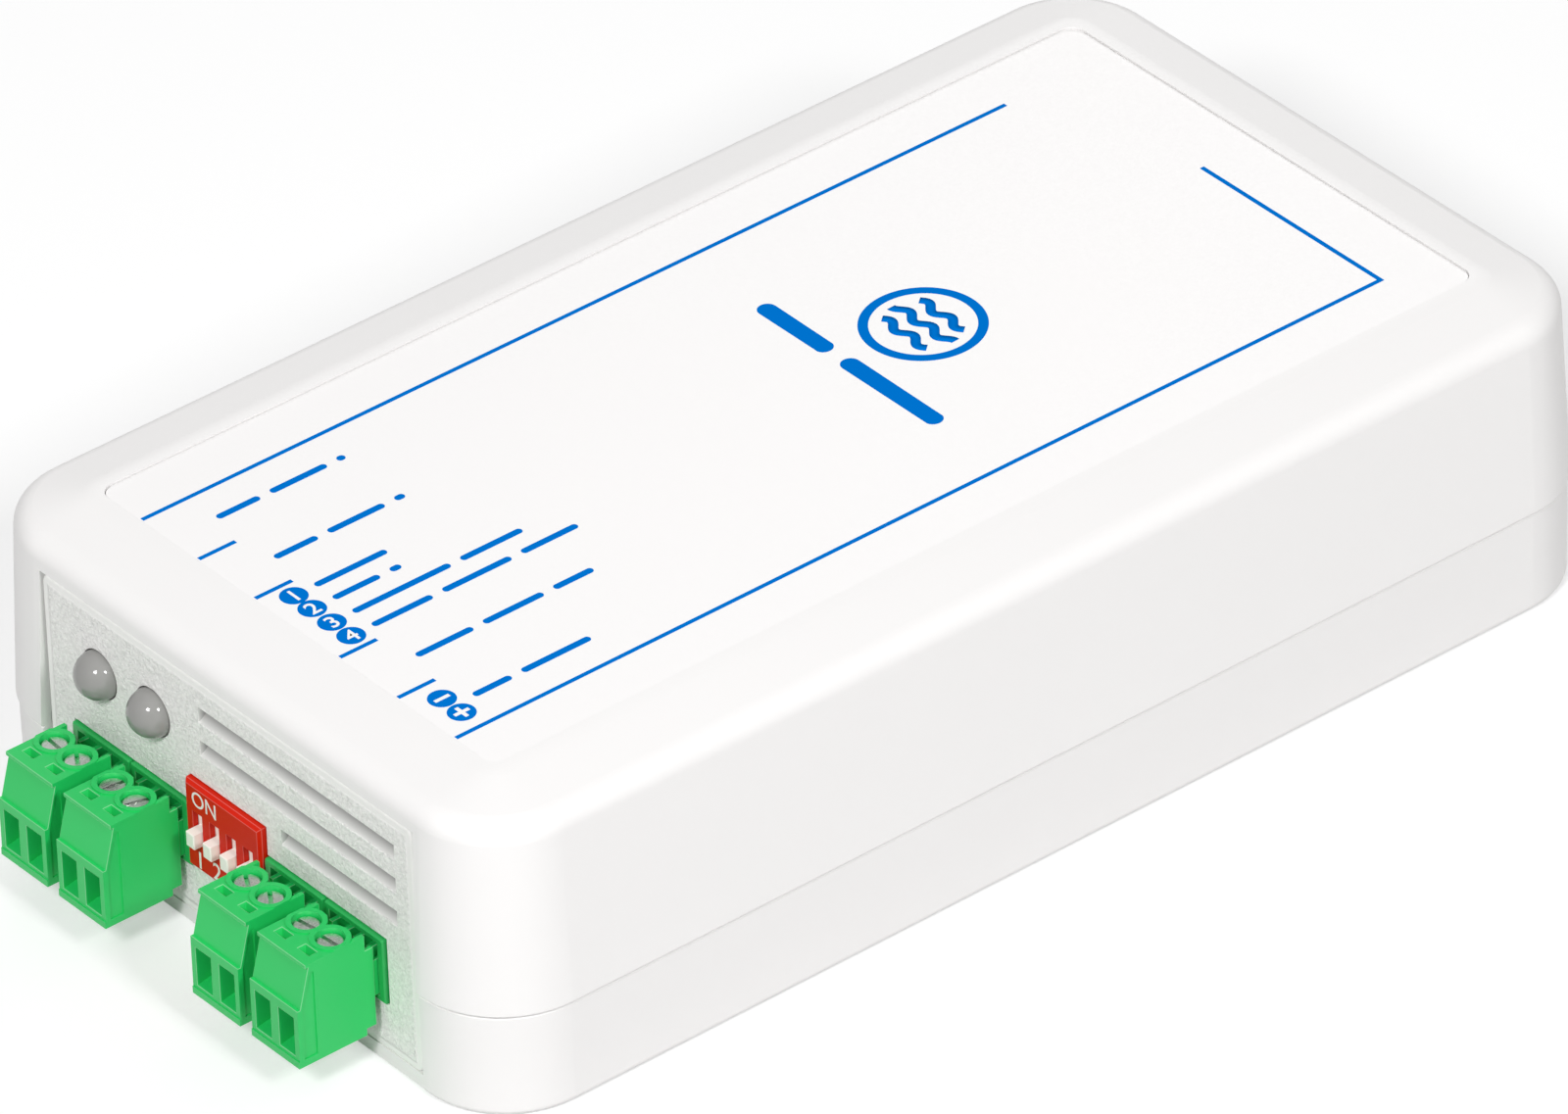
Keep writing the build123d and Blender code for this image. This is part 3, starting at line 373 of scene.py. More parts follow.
def worked_copy(node, name):
    """A merged copy of a CAD node, with flat faces made whole, ready to be worked on."""
    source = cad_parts[node]
    piece = source.copy()
    piece.data = source.data.copy()
    piece.name = name
    piece.data.name = name
    piece.parent = None
    for key in list(piece.keys()):
        del piece[key]
    bpy.context.scene.collection.objects.link(piece)
    activate(piece)
    bpy.ops.mesh.customdata_custom_splitnormals_clear()
    edit()
    bpy.ops.mesh.remove_doubles(threshold=MERGE_DISTANCE)
    bpy.ops.mesh.dissolve_limited(angle_limit=FLAT_ANGLE)
    close_edit()
    return piece


def shifted_copy(piece, name, shift):
    """A copy of a piece with its own mesh, moved by a vector."""
    copy = piece.copy()
    copy.data = piece.data.copy()
    copy.name = name
    copy.data.name = name
    copy.data.transform(Matrix.Translation(shift))
    bpy.context.scene.collection.objects.link(copy)
    return copy


def smooth(piece):
    """Shade a piece smooth, apart from its sharp edges."""
    activate(piece)
    bpy.ops.object.shade_smooth_by_angle(angle=SMOOTH_ANGLE)


def roomy_edges(mesh, reach):
    """Numbers of the sharp outer edges whose ends have no edge shorter than the reach."""
    shape = bmesh.new()
    shape.from_mesh(mesh)
    cramped = {
        vertex for vertex in shape.verts if min(edge.calc_length() for edge in vertex.link_edges) < reach
    }
    roomy = [
        edge.index for edge in shape.edges
        if edge.is_convex
        and edge.calc_face_angle(0) > SMOOTH_ANGLE
        and not cramped.intersection(edge.verts)
    ]
    shape.free()
    return roomy


def soften(piece, radius, room=EDGE_ROOM):
    """Round a piece's sharp edges, where there is room for it, mark the rounded faces and shade it."""
    activate(piece)
    weights = piece.data.attributes.new("bevel_weight_edge", "FLOAT", "EDGE")
    for number in roomy_edges(piece.data, room * radius):
        weights.data[number].value = 1.0
    rounding = piece.modifiers.new("rounding", "BEVEL")
    rounding.width = radius
    rounding.segments = EDGE_SEGMENTS
    rounding.limit_method = "WEIGHT"
    rounding.use_clamp_overlap = True
    piece.data.materials.clear()
    for slot in range(2):
        piece.data.materials.append(None)
    rounding.material = 1
    bpy.ops.object.modifier_apply(modifier=rounding.name)
    mark = piece.data.attributes.new(EDGE_MARK, "FLOAT", "FACE")
    for face in piece.data.polygons:
        mark.data[face.index].value = float(face.material_index)
        face.material_index = 0
    smooth(piece)
    evening = piece.modifiers.new("evening", "WEIGHTED_NORMAL")
    evening.keep_sharp = True
    bpy.ops.object.modifier_apply(modifier=evening.name)


def dress(piece, material, slot, body, *replaced):
    """Give a piece its one material and its body, and hide the CAD nodes that it stands for. The slot is not
    used.
    """
    piece.data.materials.clear()
    piece.data.materials.append(material)
    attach(piece, body)
    if replaced:
        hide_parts(*replaced)


def paint(node, material):
    """Give a CAD node its one material."""
    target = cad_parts[node]
    target.data.materials.clear()
    target.data.materials.append(material)


def join(pieces, name):
    """Join several pieces into one."""
    activate(pieces[0])
    for piece in pieces:
        piece.select_set(True)
    bpy.ops.object.join()
    pieces[0].name = name
    pieces[0].data.name = name
    return pieces[0]


# Print, drawn flat and raised


def raise_print():
    """Extrude the active flat piece upwards and close its underside."""
    edit()
    bpy.ops.mesh.extrude_region_move(TRANSFORM_OT_translate={"value": (0, 0, PRINT_THICKNESS)})
    bpy.ops.mesh.select_all(action="SELECT")
    bpy.ops.mesh.normals_make_consistent(inside=False)
    close_edit()


def filled_circle(centre, radius, corners):
    """A flat filled circle on the XY plane."""
    bpy.ops.object.select_all(action="DESELECT")
    bpy.ops.mesh.primitive_circle_add(vertices=corners, radius=radius, fill_type="NGON", location=centre)
    piece = bpy.context.object
    settle(piece)
    return piece


def bar(start, end, width):
    """A thin flat bar from start to end, along X or Y, at start's height."""
    start = Vector(start)
    along = Vector(end) - start
    across = Vector((abs(along.y), abs(along.x), 0)).normalized() * width
    bpy.ops.object.select_all(action="DESELECT")
    bpy.ops.mesh.primitive_plane_add(size=1, location=start + along / 2)
    piece = bpy.context.object
    piece.scale = (abs(along.x) + across.x, abs(along.y) + across.y, 1)
    settle(piece)
    raise_print()
    return piece


def rounded_dash(start, end, width):
    """A thin flat dash with round ends, along X or Y: a disc with one half drawn out."""
    start = Vector(start)
    along = Vector(end) - start
    forward = along.normalized()
    middle = start + forward * width / 2
    piece = filled_circle(middle, width / 2, DASH_CORNERS)
    edit("DESELECT")
    close_edit()
    for vertex in piece.data.vertices:
        vertex.select = (vertex.co - middle).dot(forward) > 0
    bpy.ops.object.mode_set(mode="EDIT")
    bpy.ops.transform.translate(value=along - forward * width)
    close_edit()
    raise_print()
    return piece


def disc(centre, radius):
    """A thin flat disc."""
    piece = filled_circle(centre, radius, DISC_CORNERS)
    raise_print()
    return piece


def flat_ring(centre, radius, width):
    """A thin flat ring: a disc inset, with its middle deleted."""
    piece = filled_circle(centre, radius, RING_CORNERS)
    edit()
    bpy.ops.mesh.inset(thickness=width)
    bpy.ops.mesh.delete(type="FACE")
    close_edit()
    raise_print()
    return piece


def ribbon(path, width):
    """A thin flat line of even width that follows a path on the XY plane."""
    curve = bpy.data.curves.new("ribbon", "CURVE")
    curve.dimensions = "3D"
    curve.extrude = width / 2
    curve.twist_mode = "Z_UP"
    spline = curve.splines.new("POLY")
    spline.points.add(len(path) - 1)
    for point, place in zip(spline.points, path):
        point.co = (*place, 1)
        point.tilt = pi / 2
    piece = bpy.data.objects.new("ribbon", curve)
    bpy.context.scene.collection.objects.link(piece)
    activate(piece)
    bpy.ops.object.convert(target="MESH")
    raise_print()
    return bpy.context.object


def letters(text, height, centre, turn, weight):
    """Flat print of a few letters, centred on a point and turned about it."""
    bpy.ops.object.select_all(action="DESELECT")
    bpy.ops.object.text_add()
    piece = bpy.context.object
    piece.data.body = text
    piece.data.align_x = "CENTER"
    piece.data.align_y = "CENTER"
    piece.data.resolution_u = LETTER_CURVE_STEPS
    piece.data.offset = weight
    piece.data.extrude = LETTER_DEPTH
    bpy.ops.object.convert(target="MESH")
    size = piece.dimensions
    piece.scale = (height / size.y, height / size.y, PRINT_THICKNESS / size.z)
    bpy.ops.object.origin_set(type="ORIGIN_GEOMETRY", center="BOUNDS")
    piece.rotation_euler = turn
    piece.location = centre
    settle(piece)
    return piece


# Shader helpers


def feed(tree, value, socket):
    """Link a socket to a shader output, or set it to a plain number or colour."""
    if isinstance(value, bpy.types.NodeSocket):
        tree.links.new(value, socket)
    else:
        socket.default_value = value


def maths(tree, operation, first, second=0.0):
    """Result of a math node on sockets or numbers."""
    node = tree.nodes.new("ShaderNodeMath")
    node.operation = operation
    feed(tree, first, node.inputs[0])
    feed(tree, second, node.inputs[1])
    return node.outputs[0]


def noise(tree, vector, per_metre, detail, roughness=0.5, distortion=0.0):
    """Noise texture node on a vector, with as many lumps to a metre as given."""
    texture = tree.nodes.new("ShaderNodeTexNoise")
    texture.inputs["Detail"].default_value = detail
    texture.inputs["Roughness"].default_value = roughness
    texture.inputs["Distortion"].default_value = distortion
    tree.links.new(vector, texture.inputs["Vector"])
    feed(tree, per_metre, texture.inputs["Scale"])
    return texture


def mixed(tree, share, first, second):
    """A mix of two colours."""
    mix = tree.nodes.new("ShaderNodeMix")
    mix.data_type = "RGBA"
    feed(tree, share, mix.inputs["Factor"])
    feed(tree, first, mix.inputs["A"])
    feed(tree, second, mix.inputs["B"])
    return mix.outputs["Result"]


def shaded(tree, colour, value):
    """A colour made darker or lighter by a value near 1."""
    shade = tree.nodes.new("ShaderNodeHueSaturation")
    tree.links.new(value, shade.inputs["Value"])
    tree.links.new(colour, shade.inputs["Color"])
    return shade.outputs["Color"]


def between(tree, value, low, high, way="LINEAR"):
    """A value's place between a low and a high one, from 0 to 1."""
    span = tree.nodes.new("ShaderNodeMapRange")
    span.interpolation_type = way
    tree.links.new(value, span.inputs["Value"])
    feed(tree, low, span.inputs["From Min"])
    feed(tree, high, span.inputs["From Max"])
    return span.outputs["Result"]


def relief(tree, height, distance):
    """Bump node of a height that changes over the surface, and of a full height."""
    bump = tree.nodes.new("ShaderNodeBump")
    bump.inputs["Strength"].default_value = 1.0
    feed(tree, distance, bump.inputs["Distance"])
    tree.links.new(height, bump.inputs["Height"])
    return bump


def object_place(tree):
    """Object coordinates."""
    return tree.nodes.new("ShaderNodeTexCoord").outputs["Object"]


# Node groups shared by the materials


def new_group(name, inputs, outputs):
    """An empty shader group with named sockets, what it is given and what it puts out."""
    group = bpy.data.node_groups.new(name, "ShaderNodeTree")
    for label, value in inputs.items():
        kind = "NodeSocketColor" if isinstance(value, tuple) else "NodeSocketFloat"
        socket = group.interface.new_socket(name=label, in_out="INPUT", socket_type=kind)
        socket.default_value = value
    for label, kind in outputs.items():
        group.interface.new_socket(name=label, in_out="OUTPUT", socket_type=kind)
    given = group.nodes.new("NodeGroupInput").outputs
    result = group.nodes.new("NodeGroupOutput").inputs
    return group, given, result


def moulded_group():
    """Moulded plastic: slow drifts of shade, fine speckle, a fine relief and a painted highlight on rounded
    edges.
    """
    group, given, result = new_group(
        "moulded_plastic",
        {
            "Colour": (0.8, 0.8, 0.8, 1), "Drift": 0.03, "Texture size": 0.3 * MM,
            "Texture height": 0.004 * MM, "Roughness": 0.5, "Painted edge highlight": 0.0,
        },
        SKIN_OUTPUTS,
    )
    drifts_per_metre, fine_share, middle = 45.0, 0.5, 0.75
    roughness_spread = 0.22
    place = object_place(group)
    per_metre = maths(group, "DIVIDE", 1.0, given["Texture size"])
    fine = noise(group, place, per_metre, detail=4.0, roughness=0.6).outputs[0]
    slow = noise(group, place, drifts_per_metre, detail=2.0).outputs[0]
    both = maths(group, "ADD", slow, maths(group, "MULTIPLY", fine, fine_share))
    drift = maths(group, "MULTIPLY", maths(group, "SUBTRACT", both, middle), given["Drift"])
    drifted = shaded(group, given["Colour"], maths(group, "ADD", drift, 1.0))
    # Painted highlight: faces of rounded edges are mixed towards white, as if they caught the light.
    rounded = group.nodes.new("ShaderNodeAttribute")
    rounded.attribute_name = EDGE_MARK
    painted_edge_highlight = maths(group, "MULTIPLY", rounded.outputs["Fac"], given["Painted edge highlight"])
    group.links.new(mixed(group, painted_edge_highlight, drifted, WHITE), result["Colour"])
    spread = maths(group, "MULTIPLY", maths(group, "SUBTRACT", fine, 0.5), roughness_spread)
    group.links.new(maths(group, "ADD", given["Roughness"], spread), result["Roughness"])
    group.links.new(relief(group, fine, given["Texture height"]).outputs["Normal"], result["Normal"])
    return group


def leather_group():
    """Leather grain of an end panel: wrinkles on its face, a smooth rim, painted shade in the wrinkles'
    valleys and painted shade in its openings.
    """
    group, given, result = new_group(
        "leather_grain",
        {
            "Colour": (0.8, 0.8, 0.8, 1), "Shade": 0.2, "Depth shade": 0.2, "Grain size": 0.6 * MM,
            "Half width": 27.0 * MM, "Bottom": 2.0 * MM, "Top": 28.0 * MM, "Face": 67.0 * MM,
            "Rim": 1.0 * MM,
        },
        {"Colour": "NodeSocketColor", "Height": "NodeSocketFloat"},
    )
    warps, pebbles, creases = 0.8, 1.3, 1.5
    pebble_share, crease_share, mean_height = 0.45, 0.8, 0.66
    rim_start, rim_end = 0.8, 1.2
    face_depth, shade_start, shade_end = 0.12 * MM, 0.1 * MM, 1.2 * MM
    place = object_place(group)
    per_metre = maths(group, "DIVIDE", 1.0, given["Grain size"])
    warp = noise(group, place, maths(group, "MULTIPLY", per_metre, warps), detail=2.0)
    stretch = group.nodes.new("ShaderNodeCombineXYZ")
    for socket in stretch.inputs:
        group.links.new(given["Grain size"], socket)
    pull = group.nodes.new("ShaderNodeVectorMath")
    pull.operation = "MULTIPLY_ADD"
    for socket, vector in zip(pull.inputs, (warp.outputs["Color"], stretch.outputs[0], place)):
        group.links.new(vector, socket)
    cells = group.nodes.new("ShaderNodeTexVoronoi")
    cells.feature = "SMOOTH_F1"
    cells.inputs["Smoothness"].default_value = 0.6
    group.links.new(pull.outputs[0], cells.inputs["Vector"])
    group.links.new(maths(group, "MULTIPLY", per_metre, pebbles), cells.inputs["Scale"])
    crease = noise(
        group, pull.outputs[0], maths(group, "MULTIPLY", per_metre, creases),
        detail=1.0, roughness=0.45, distortion=1.6,
    )
    pebble = maths(group, "SUBTRACT", 1.0, cells.outputs["Distance"])
    pebbled = maths(group, "MULTIPLY", pebble, pebble_share)
    creased = maths(group, "MULTIPLY", crease.outputs[0], crease_share)
    height = maths(group, "ADD", pebbled, creased)
    apart = group.nodes.new("ShaderNodeSeparateXYZ")
    group.links.new(place, apart.inputs[0])
    inside = maths(group, "SUBTRACT", given["Half width"], maths(group, "ABSOLUTE", apart.outputs["X"]))
    over = maths(group, "SUBTRACT", apart.outputs["Z"], given["Bottom"])
    under = maths(group, "SUBTRACT", given["Top"], apart.outputs["Z"])
    nearest = maths(group, "MINIMUM", inside, maths(group, "MINIMUM", over, under))
    band_start = maths(group, "MULTIPLY", given["Rim"], rim_start)
    band_end = maths(group, "MULTIPLY", given["Rim"], rim_end)
    band = between(group, nearest, band_start, band_end, "SMOOTHSTEP")
    depth = maths(group, "SUBTRACT", given["Face"], maths(group, "ABSOLUTE", apart.outputs["Y"]))
    mask = maths(group, "MULTIPLY", band, maths(group, "LESS_THAN", depth, face_depth))
    group.links.new(maths(group, "MULTIPLY", height, mask), result["Height"])
    # Painted shade: the colour is darker in the grain's valleys and lighter on its ridges, inside the smooth
    # rim.
    painted_valley_shade = maths(group, "MULTIPLY", maths(group, "SUBTRACT", height, mean_height), given["Shade"])
    # Painted shade: the colour is darker the deeper a face lies behind the panel's face, in the louvres and
    # other openings.
    sunk = between(group, depth, shade_start, shade_end)
    shadow = maths(group, "MULTIPLY", sunk, given["Depth shade"])
    grained = maths(group, "ADD", maths(group, "MULTIPLY", painted_valley_shade, mask), 1.0)
    value = maths(group, "SUBTRACT", grained, shadow)
    group.links.new(shaded(group, given["Colour"], value), result["Colour"])
    return group


def plated_group():
    """Plated metal: fine turned streaks and a little tarnish."""
    group, given, result = new_group(
        "plated_metal",
        {
            "Colour": (0.7, 0.7, 0.7, 1), "Tarnish": (0.4, 0.4, 0.38, 1), "Streak size": 0.2 * MM,
            "Roughness": 0.3,
        },
        SKIN_OUTPUTS,
    )
    spots_per_metre, tarnish_share = 900.0, 0.7
    roughness_spread, streak_height = 0.35, 0.01 * MM
    place = object_place(group)
    per_metre = maths(group, "DIVIDE", 1.0, given["Streak size"])
    longer = group.nodes.new("ShaderNodeMapping")
    longer.inputs["Scale"].default_value = (1.0, 0.25, 1.0)
    group.links.new(place, longer.inputs["Vector"])
    streaks = noise(group, longer.outputs[0], per_metre, detail=3.0, roughness=0.6).outputs[0]
    spots = noise(group, place, spots_per_metre, detail=2.0).outputs[0]
    tarnished = maths(group, "MULTIPLY", maths(group, "MULTIPLY", spots, streaks), tarnish_share)
    group.links.new(mixed(group, tarnished, given["Colour"], given["Tarnish"]), result["Colour"])
    rougher = maths(group, "MULTIPLY", maths(group, "SUBTRACT", streaks, 0.5), roughness_spread)
    group.links.new(maths(group, "ADD", given["Roughness"], rougher), result["Roughness"])
    group.links.new(relief(group, streaks, streak_height).outputs["Normal"], result["Normal"])
    return group


def shared_group(name):
    """One of the node groups, built the first time that it is asked for."""
    makers = {
        "moulded_plastic": moulded_group, "leather_grain": leather_group, "plated_metal": plated_group
    }
    return bpy.data.node_groups.get(name) or makers[name]()


# Materials


def new_material(name):
    """A material with only its shader and output, its node tree and its shader."""
    material = bpy.data.materials.new(name)
    material.use_nodes = True
    return material, material.node_tree, material.node_tree.nodes["Principled BSDF"]


def place_group(tree, name, values):
    """A shared group in a material, with its own values."""
    placed = tree.nodes.new("ShaderNodeGroup")
    placed.node_tree = shared_group(name)
    for label, value in values.items():
        socket = placed.inputs[label]
        socket.default_value = (*value, 1) if socket.type == "RGBA" else value
    return placed


def link_skin(tree, skin, shader):
    """Lead a group's colour, roughness and normal to the shader."""
    tree.links.new(skin.outputs["Colour"], shader.inputs["Base Color"])
    tree.links.new(skin.outputs["Roughness"], shader.inputs["Roughness"])
    tree.links.new(skin.outputs["Normal"], shader.inputs["Normal"])


def plastic(name, colour, roughness, size, height, drift, gloss=0.5, edge=0.0):
    """A moulded plastic, film or ink."""
    material, tree, shader = new_material(name)
    # edge is the share of a painted highlight on the rounded edges.
    skin = place_group(
        tree, "moulded_plastic",
        {
            "Colour": colour, "Drift": drift, "Texture size": size, "Texture height": height,
            "Roughness": roughness, "Painted edge highlight": edge,
        },
    )
    link_skin(tree, skin, shader)
    shader.inputs["Specular IOR Level"].default_value = gloss
    return material


def metal(name, colour, tarnish, roughness):
    """A plated metal."""
    material, tree, shader = new_material(name)
    skin = place_group(
        tree, "plated_metal",
        {"Colour": colour, "Tarnish": tarnish, "Streak size": 0.2 * MM, "Roughness": roughness},
    )
    link_skin(tree, skin, shader)
    shader.inputs["Metallic"].default_value = 1.0
    return material


def panel_plastic(name, case):
    """Pale grey plastic with a leather grain on its outer face."""
    material, tree, shader = new_material(name)
    low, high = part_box("rear_panel")
    skin = place_group(
        tree, "moulded_plastic",
        {
            "Colour": case.panel_colour, "Drift": 0.04, "Texture size": case.texture_size,
            "Texture height": case.texture_height, "Roughness": 0.55,
        },
    )
    # The grain also paints shade: darker in its valleys (Shade), and darker with depth in the openings
    # (Depth shade).
    grain = place_group(
        tree, "leather_grain",
        {
            "Shade": 0.5, "Depth shade": 0.9, "Grain size": case.grain_size,
            "Half width": high.x - PANEL_FLANGE, "Bottom": low.z, "Top": high.z - PANEL_FLANGE,
            "Face": -PANEL_FACE, "Rim": case.smooth_rim,
        },
    )
    wrinkles = relief(tree, grain.outputs["Height"], case.grain_height)
    tree.links.new(skin.outputs["Normal"], wrinkles.inputs["Normal"])
    tree.links.new(wrinkles.outputs["Normal"], shader.inputs["Normal"])
    tree.links.new(skin.outputs["Colour"], grain.inputs["Colour"])
    tree.links.new(grain.outputs["Colour"], shader.inputs["Base Color"])
    tree.links.new(skin.outputs["Roughness"], shader.inputs["Roughness"])
    return material


def resin(name, colour, clearness):
    """Cloudy clear resin of a status light."""
    material, tree, shader = new_material(name)
    skin = place_group(
        tree, "moulded_plastic",
        {"Colour": colour, "Drift": 0.12, "Texture size": 1.2 * MM, "Texture height": 0.0},
    )
    tree.links.new(skin.outputs["Colour"], shader.inputs["Base Color"])
    shader.inputs["Roughness"].default_value = 0.1
    shader.inputs["IOR"].default_value = 1.5
    shader.inputs["Transmission Weight"].default_value = clearness
    return material


# Operators, one for each piece or group of like pieces


class LEAK_OT_shells(bpy.types.Operator):
    """Finish the cover and the base shell"""

    bl_idname = "leak.shells"
    bl_label = "Case shells"

    def execute(self, context):
        case = context.scene.leak_case
        for node, name, colour in (
            ("top_cover", "cover_plastic", case.cover_colour),
            ("base_shell", "base_plastic", case.base_colour),
        ):
            shell = plastic(
                name, colour, roughness=0.48, size=case.texture_size, height=case.texture_height,
                drift=0.012, gloss=0.4,
            )
            paint(node, shell)
        return {"FINISHED"}


class LEAK_OT_end_panels(bpy.types.Operator):
    """Give the end panels their leather grain and smooth rim"""

    bl_idname = "leak.end_panels"
    bl_label = "End panels"

    def execute(self, context):
        case = context.scene.leak_case
        material = panel_plastic("panel_grain", case)
        for node, name in (("front_panel", "front_plate"), ("rear_panel", "rear_plate")):
            piece = worked_copy(node, name)
            soften(piece, case.edge_radius)
            dress(piece, material, "panel_grey", "case", node)
        return {"FINISHED"}


class LEAK_OT_label(bpy.types.Operator):
    """Lay the label film and its plain blue print"""

    bl_idname = "leak.label"
    bl_label = "Label and print"

    def execute(self, context):
        look = context.scene.leak_label
        film = plastic(
            "label_film", look.film_colour, roughness=0.42, size=0.25 * MM, height=0.002 * MM,
            drift=0.01, gloss=0.35,
        )
        ink = plastic(
            "blue_ink", look.ink_colour, roughness=0.6, size=0.2 * MM, height=0.001 * MM,
            drift=0.03, gloss=0.0,
        )
        piece = worked_copy("top_label", "film_sheet")
        smooth(piece)
        dress(piece, film, "label", "case", "top_label")
        for print_piece in self.blue_print(look):
            dress(print_piece, ink, "label", "case")
        for sign in self.white_signs(look):
            dress(sign, film, "label", "case")
        return {"FINISHED"}

    def blue_print(self, look):
        """Frame, ticks, dashes, discs and emblem."""
        yield self.frame_lines(look)
        yield self.tick_marks(look)
        yield self.word_dashes(look)
        discs = [disc((x * MM, DISC_Y * MM, LABEL_TOP), look.disc_radius) for x in DISC_PLACES]
        yield join(discs, "number_discs")
        yield self.emblem(look)

    def frame_lines(self, look):
        """Three lines of an open frame, which butt at their corner."""
        half = look.line_width / 2
        front = LABEL_FRONT + FRAME_MARGIN * MM
        left, right, far = FRAME_LEFT * MM, FRAME_RIGHT * MM, FRAME_FAR * MM
        ends = (
            ((left, front), (left, FRAME_LEFT_END * MM)),
            ((right, front), (right, far + half)),
            ((FRAME_FAR_START * MM, far), (right - half, far)),
        )
        lines = [bar((*start, LABEL_TOP), (*end, LABEL_TOP), look.line_width) for start, end in ends]
        return join(lines, "frame_line")

    def tick_marks(self, look):
        """Short lines at the front edge, between the rows of dashes."""
        front = LABEL_FRONT + FRAME_MARGIN * MM
        ticks = [
            bar((x * MM, front, LABEL_TOP), (x * MM, TICK_END * MM, LABEL_TOP), look.line_width)
            for x in TICKS
        ]
        return join(ticks, "tick_marks")

    def word_dashes(self, look):
        """Rows of plain dashes."""
        dashes = []
        for x, lengths in DASH_ROWS:
            start = DASH_START
            for length in lengths:
                ends = ((x * MM, start * MM, LABEL_TOP), (x * MM, (start + length) * MM, LABEL_TOP))
                dashes.append(rounded_dash(*ends, look.dash_width))
                start += length + DASH_GAP
        return join(dashes, "word_dashes")

    def emblem(self, look):
        """A plain ring round three level waves, over two bars."""
        centre = Vector(EMBLEM_CENTRE) * MM
        stroke = 2 * look.line_width
        parts = [flat_ring(centre + Vector((0, 0, LABEL_TOP)), look.emblem_radius, stroke)]
        for row in (-1, 0, 1):
            half = WAVE_LENGTH[abs(row)] * MM / 2
            path = []
            for step in range(WAVE_STEPS + 1):
                x = -half + 2 * half * step / WAVE_STEPS
                y = row * WAVE_PITCH * MM + WAVE_HEIGHT * MM * sin(2 * pi * x / (WAVE_PERIOD * MM))
                path.append(centre + Vector((x, y, LABEL_TOP)))
            parts.append(ribbon(path, stroke))
        y = EMBLEM_BARS_Y * MM
        for left, right in EMBLEM_BARS:
            parts.append(rounded_dash((left * MM, y, LABEL_TOP), (right * MM, y, LABEL_TOP), look.bar_width))
        return join(parts, "level_emblem")

    def white_signs(self, look):
        """Numbers and signs that stand out white on the discs."""
        y, height = DISC_Y * MM, LABEL_TOP + PRINT_THICKNESS
        for text, x in zip("1234", DISC_PLACES):
            centre = (x * MM, y, height + PRINT_THICKNESS / 2)
            tall = DISC_DIGIT_HEIGHT * look.disc_radius
            digit = letters(text, tall, centre, (0, 0, pi / 2), DISC_DIGIT_WEIGHT)
            digit.name = f"disc_number_{text}"
            yield digit
        stroke = SIGN_STROKE * look.disc_radius
        reach = SIGN_REACH * look.disc_radius
        minus_x, plus_x = DISC_PLACES[-2] * MM, DISC_PLACES[-1] * MM
        minus = bar((minus_x, y - reach, height), (minus_x, y + reach, height), stroke)
        minus.name = "minus_sign"
        yield minus
        arms = [
            bar((plus_x, y - reach, height), (plus_x, y + reach, height), stroke),
            bar((plus_x - reach, y, height), (plus_x - stroke / 2, y, height), stroke),
            bar((plus_x + stroke / 2, y, height), (plus_x + reach, y, height), stroke),
        ]
        yield join(arms, "plus_sign")


class LEAK_OT_terminals(bpy.types.Operator):
    """Round the edges of the plugs and headers and colour them green"""

    bl_idname = "leak.terminals"
    bl_label = "Pluggable terminals"

    def execute(self, context):
        look = context.scene.leak_terminals
        # The plug and header greens get a painted highlight on their rounded edges (edge).
        plug_green = plastic(
            "plug_plastic", look.plug_colour, roughness=0.4, size=0.12 * MM, height=0.002 * MM,
            drift=0.1, edge=0.2,
        )
        header_green = plastic(
            "header_plastic", look.header_colour, roughness=0.4, size=0.12 * MM, height=0.002 * MM,
            drift=0.1, gloss=0.4, edge=0.1,
        )
        first_plug = worked_copy("plug_housing_1", "plug_body_1")
        soften(first_plug, look.plug_edge, PLUG_EDGE_ROOM)
        first_header = worked_copy("header_1", "header_body_1")
        soften(first_header, look.header_edge)
        for number in NUMBERS:
            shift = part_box(f"plug_housing_{number}")[0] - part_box("plug_housing_1")[0]
            plug, header = first_plug, first_header
            if number > 1:
                plug = shifted_copy(first_plug, f"plug_body_{number}", shift)
                header = shifted_copy(first_header, f"header_body_{number}", shift)
            dress(plug, plug_green, "plug_green", f"plug_{number}", f"plug_housing_{number}")
            dress(header, header_green, "header_green", "case", f"header_{number}")
        return {"FINISHED"}


class LEAK_OT_metal_parts(bpy.types.Operator):
    """Finish the screws, clamps, contacts and pins"""

    bl_idname = "leak.metal_parts"
    bl_label = "Screws and contacts"

    def execute(self, context):
        look = context.scene.leak_terminals
        zinc = metal("zinc_plate", look.zinc_colour, tarnish=(0.36, 0.38, 0.36), roughness=0.3)
        nickel = metal("nickel_plate", (0.62, 0.6, 0.54), tarnish=(0.38, 0.34, 0.26), roughness=0.34)
        tin = metal("tin_plate", (0.72, 0.72, 0.7), tarnish=(0.5, 0.5, 0.48), roughness=0.36)
        for number in NUMBERS:
            for pole in POLES:
                node = f"clamp_screw_{number}{pole}"
                screw = worked_copy(node, f"slotted_screw_{number}{pole}")
                soften(screw, look.screw_edge)
                dress(screw, zinc, "zinc", f"screw_{number}{pole}", node)
                paint(f"wire_clamp_{number}{pole}", nickel)
            paint(f"plug_contacts_{number}", tin)
            paint(f"header_pins_{number}", tin)
        for node in ("led_leads", "dip_legs"):
            paint(node, tin)
        for node in ("case_screws", "board_screws"):
            paint(node, zinc)
        return {"FINISHED"}


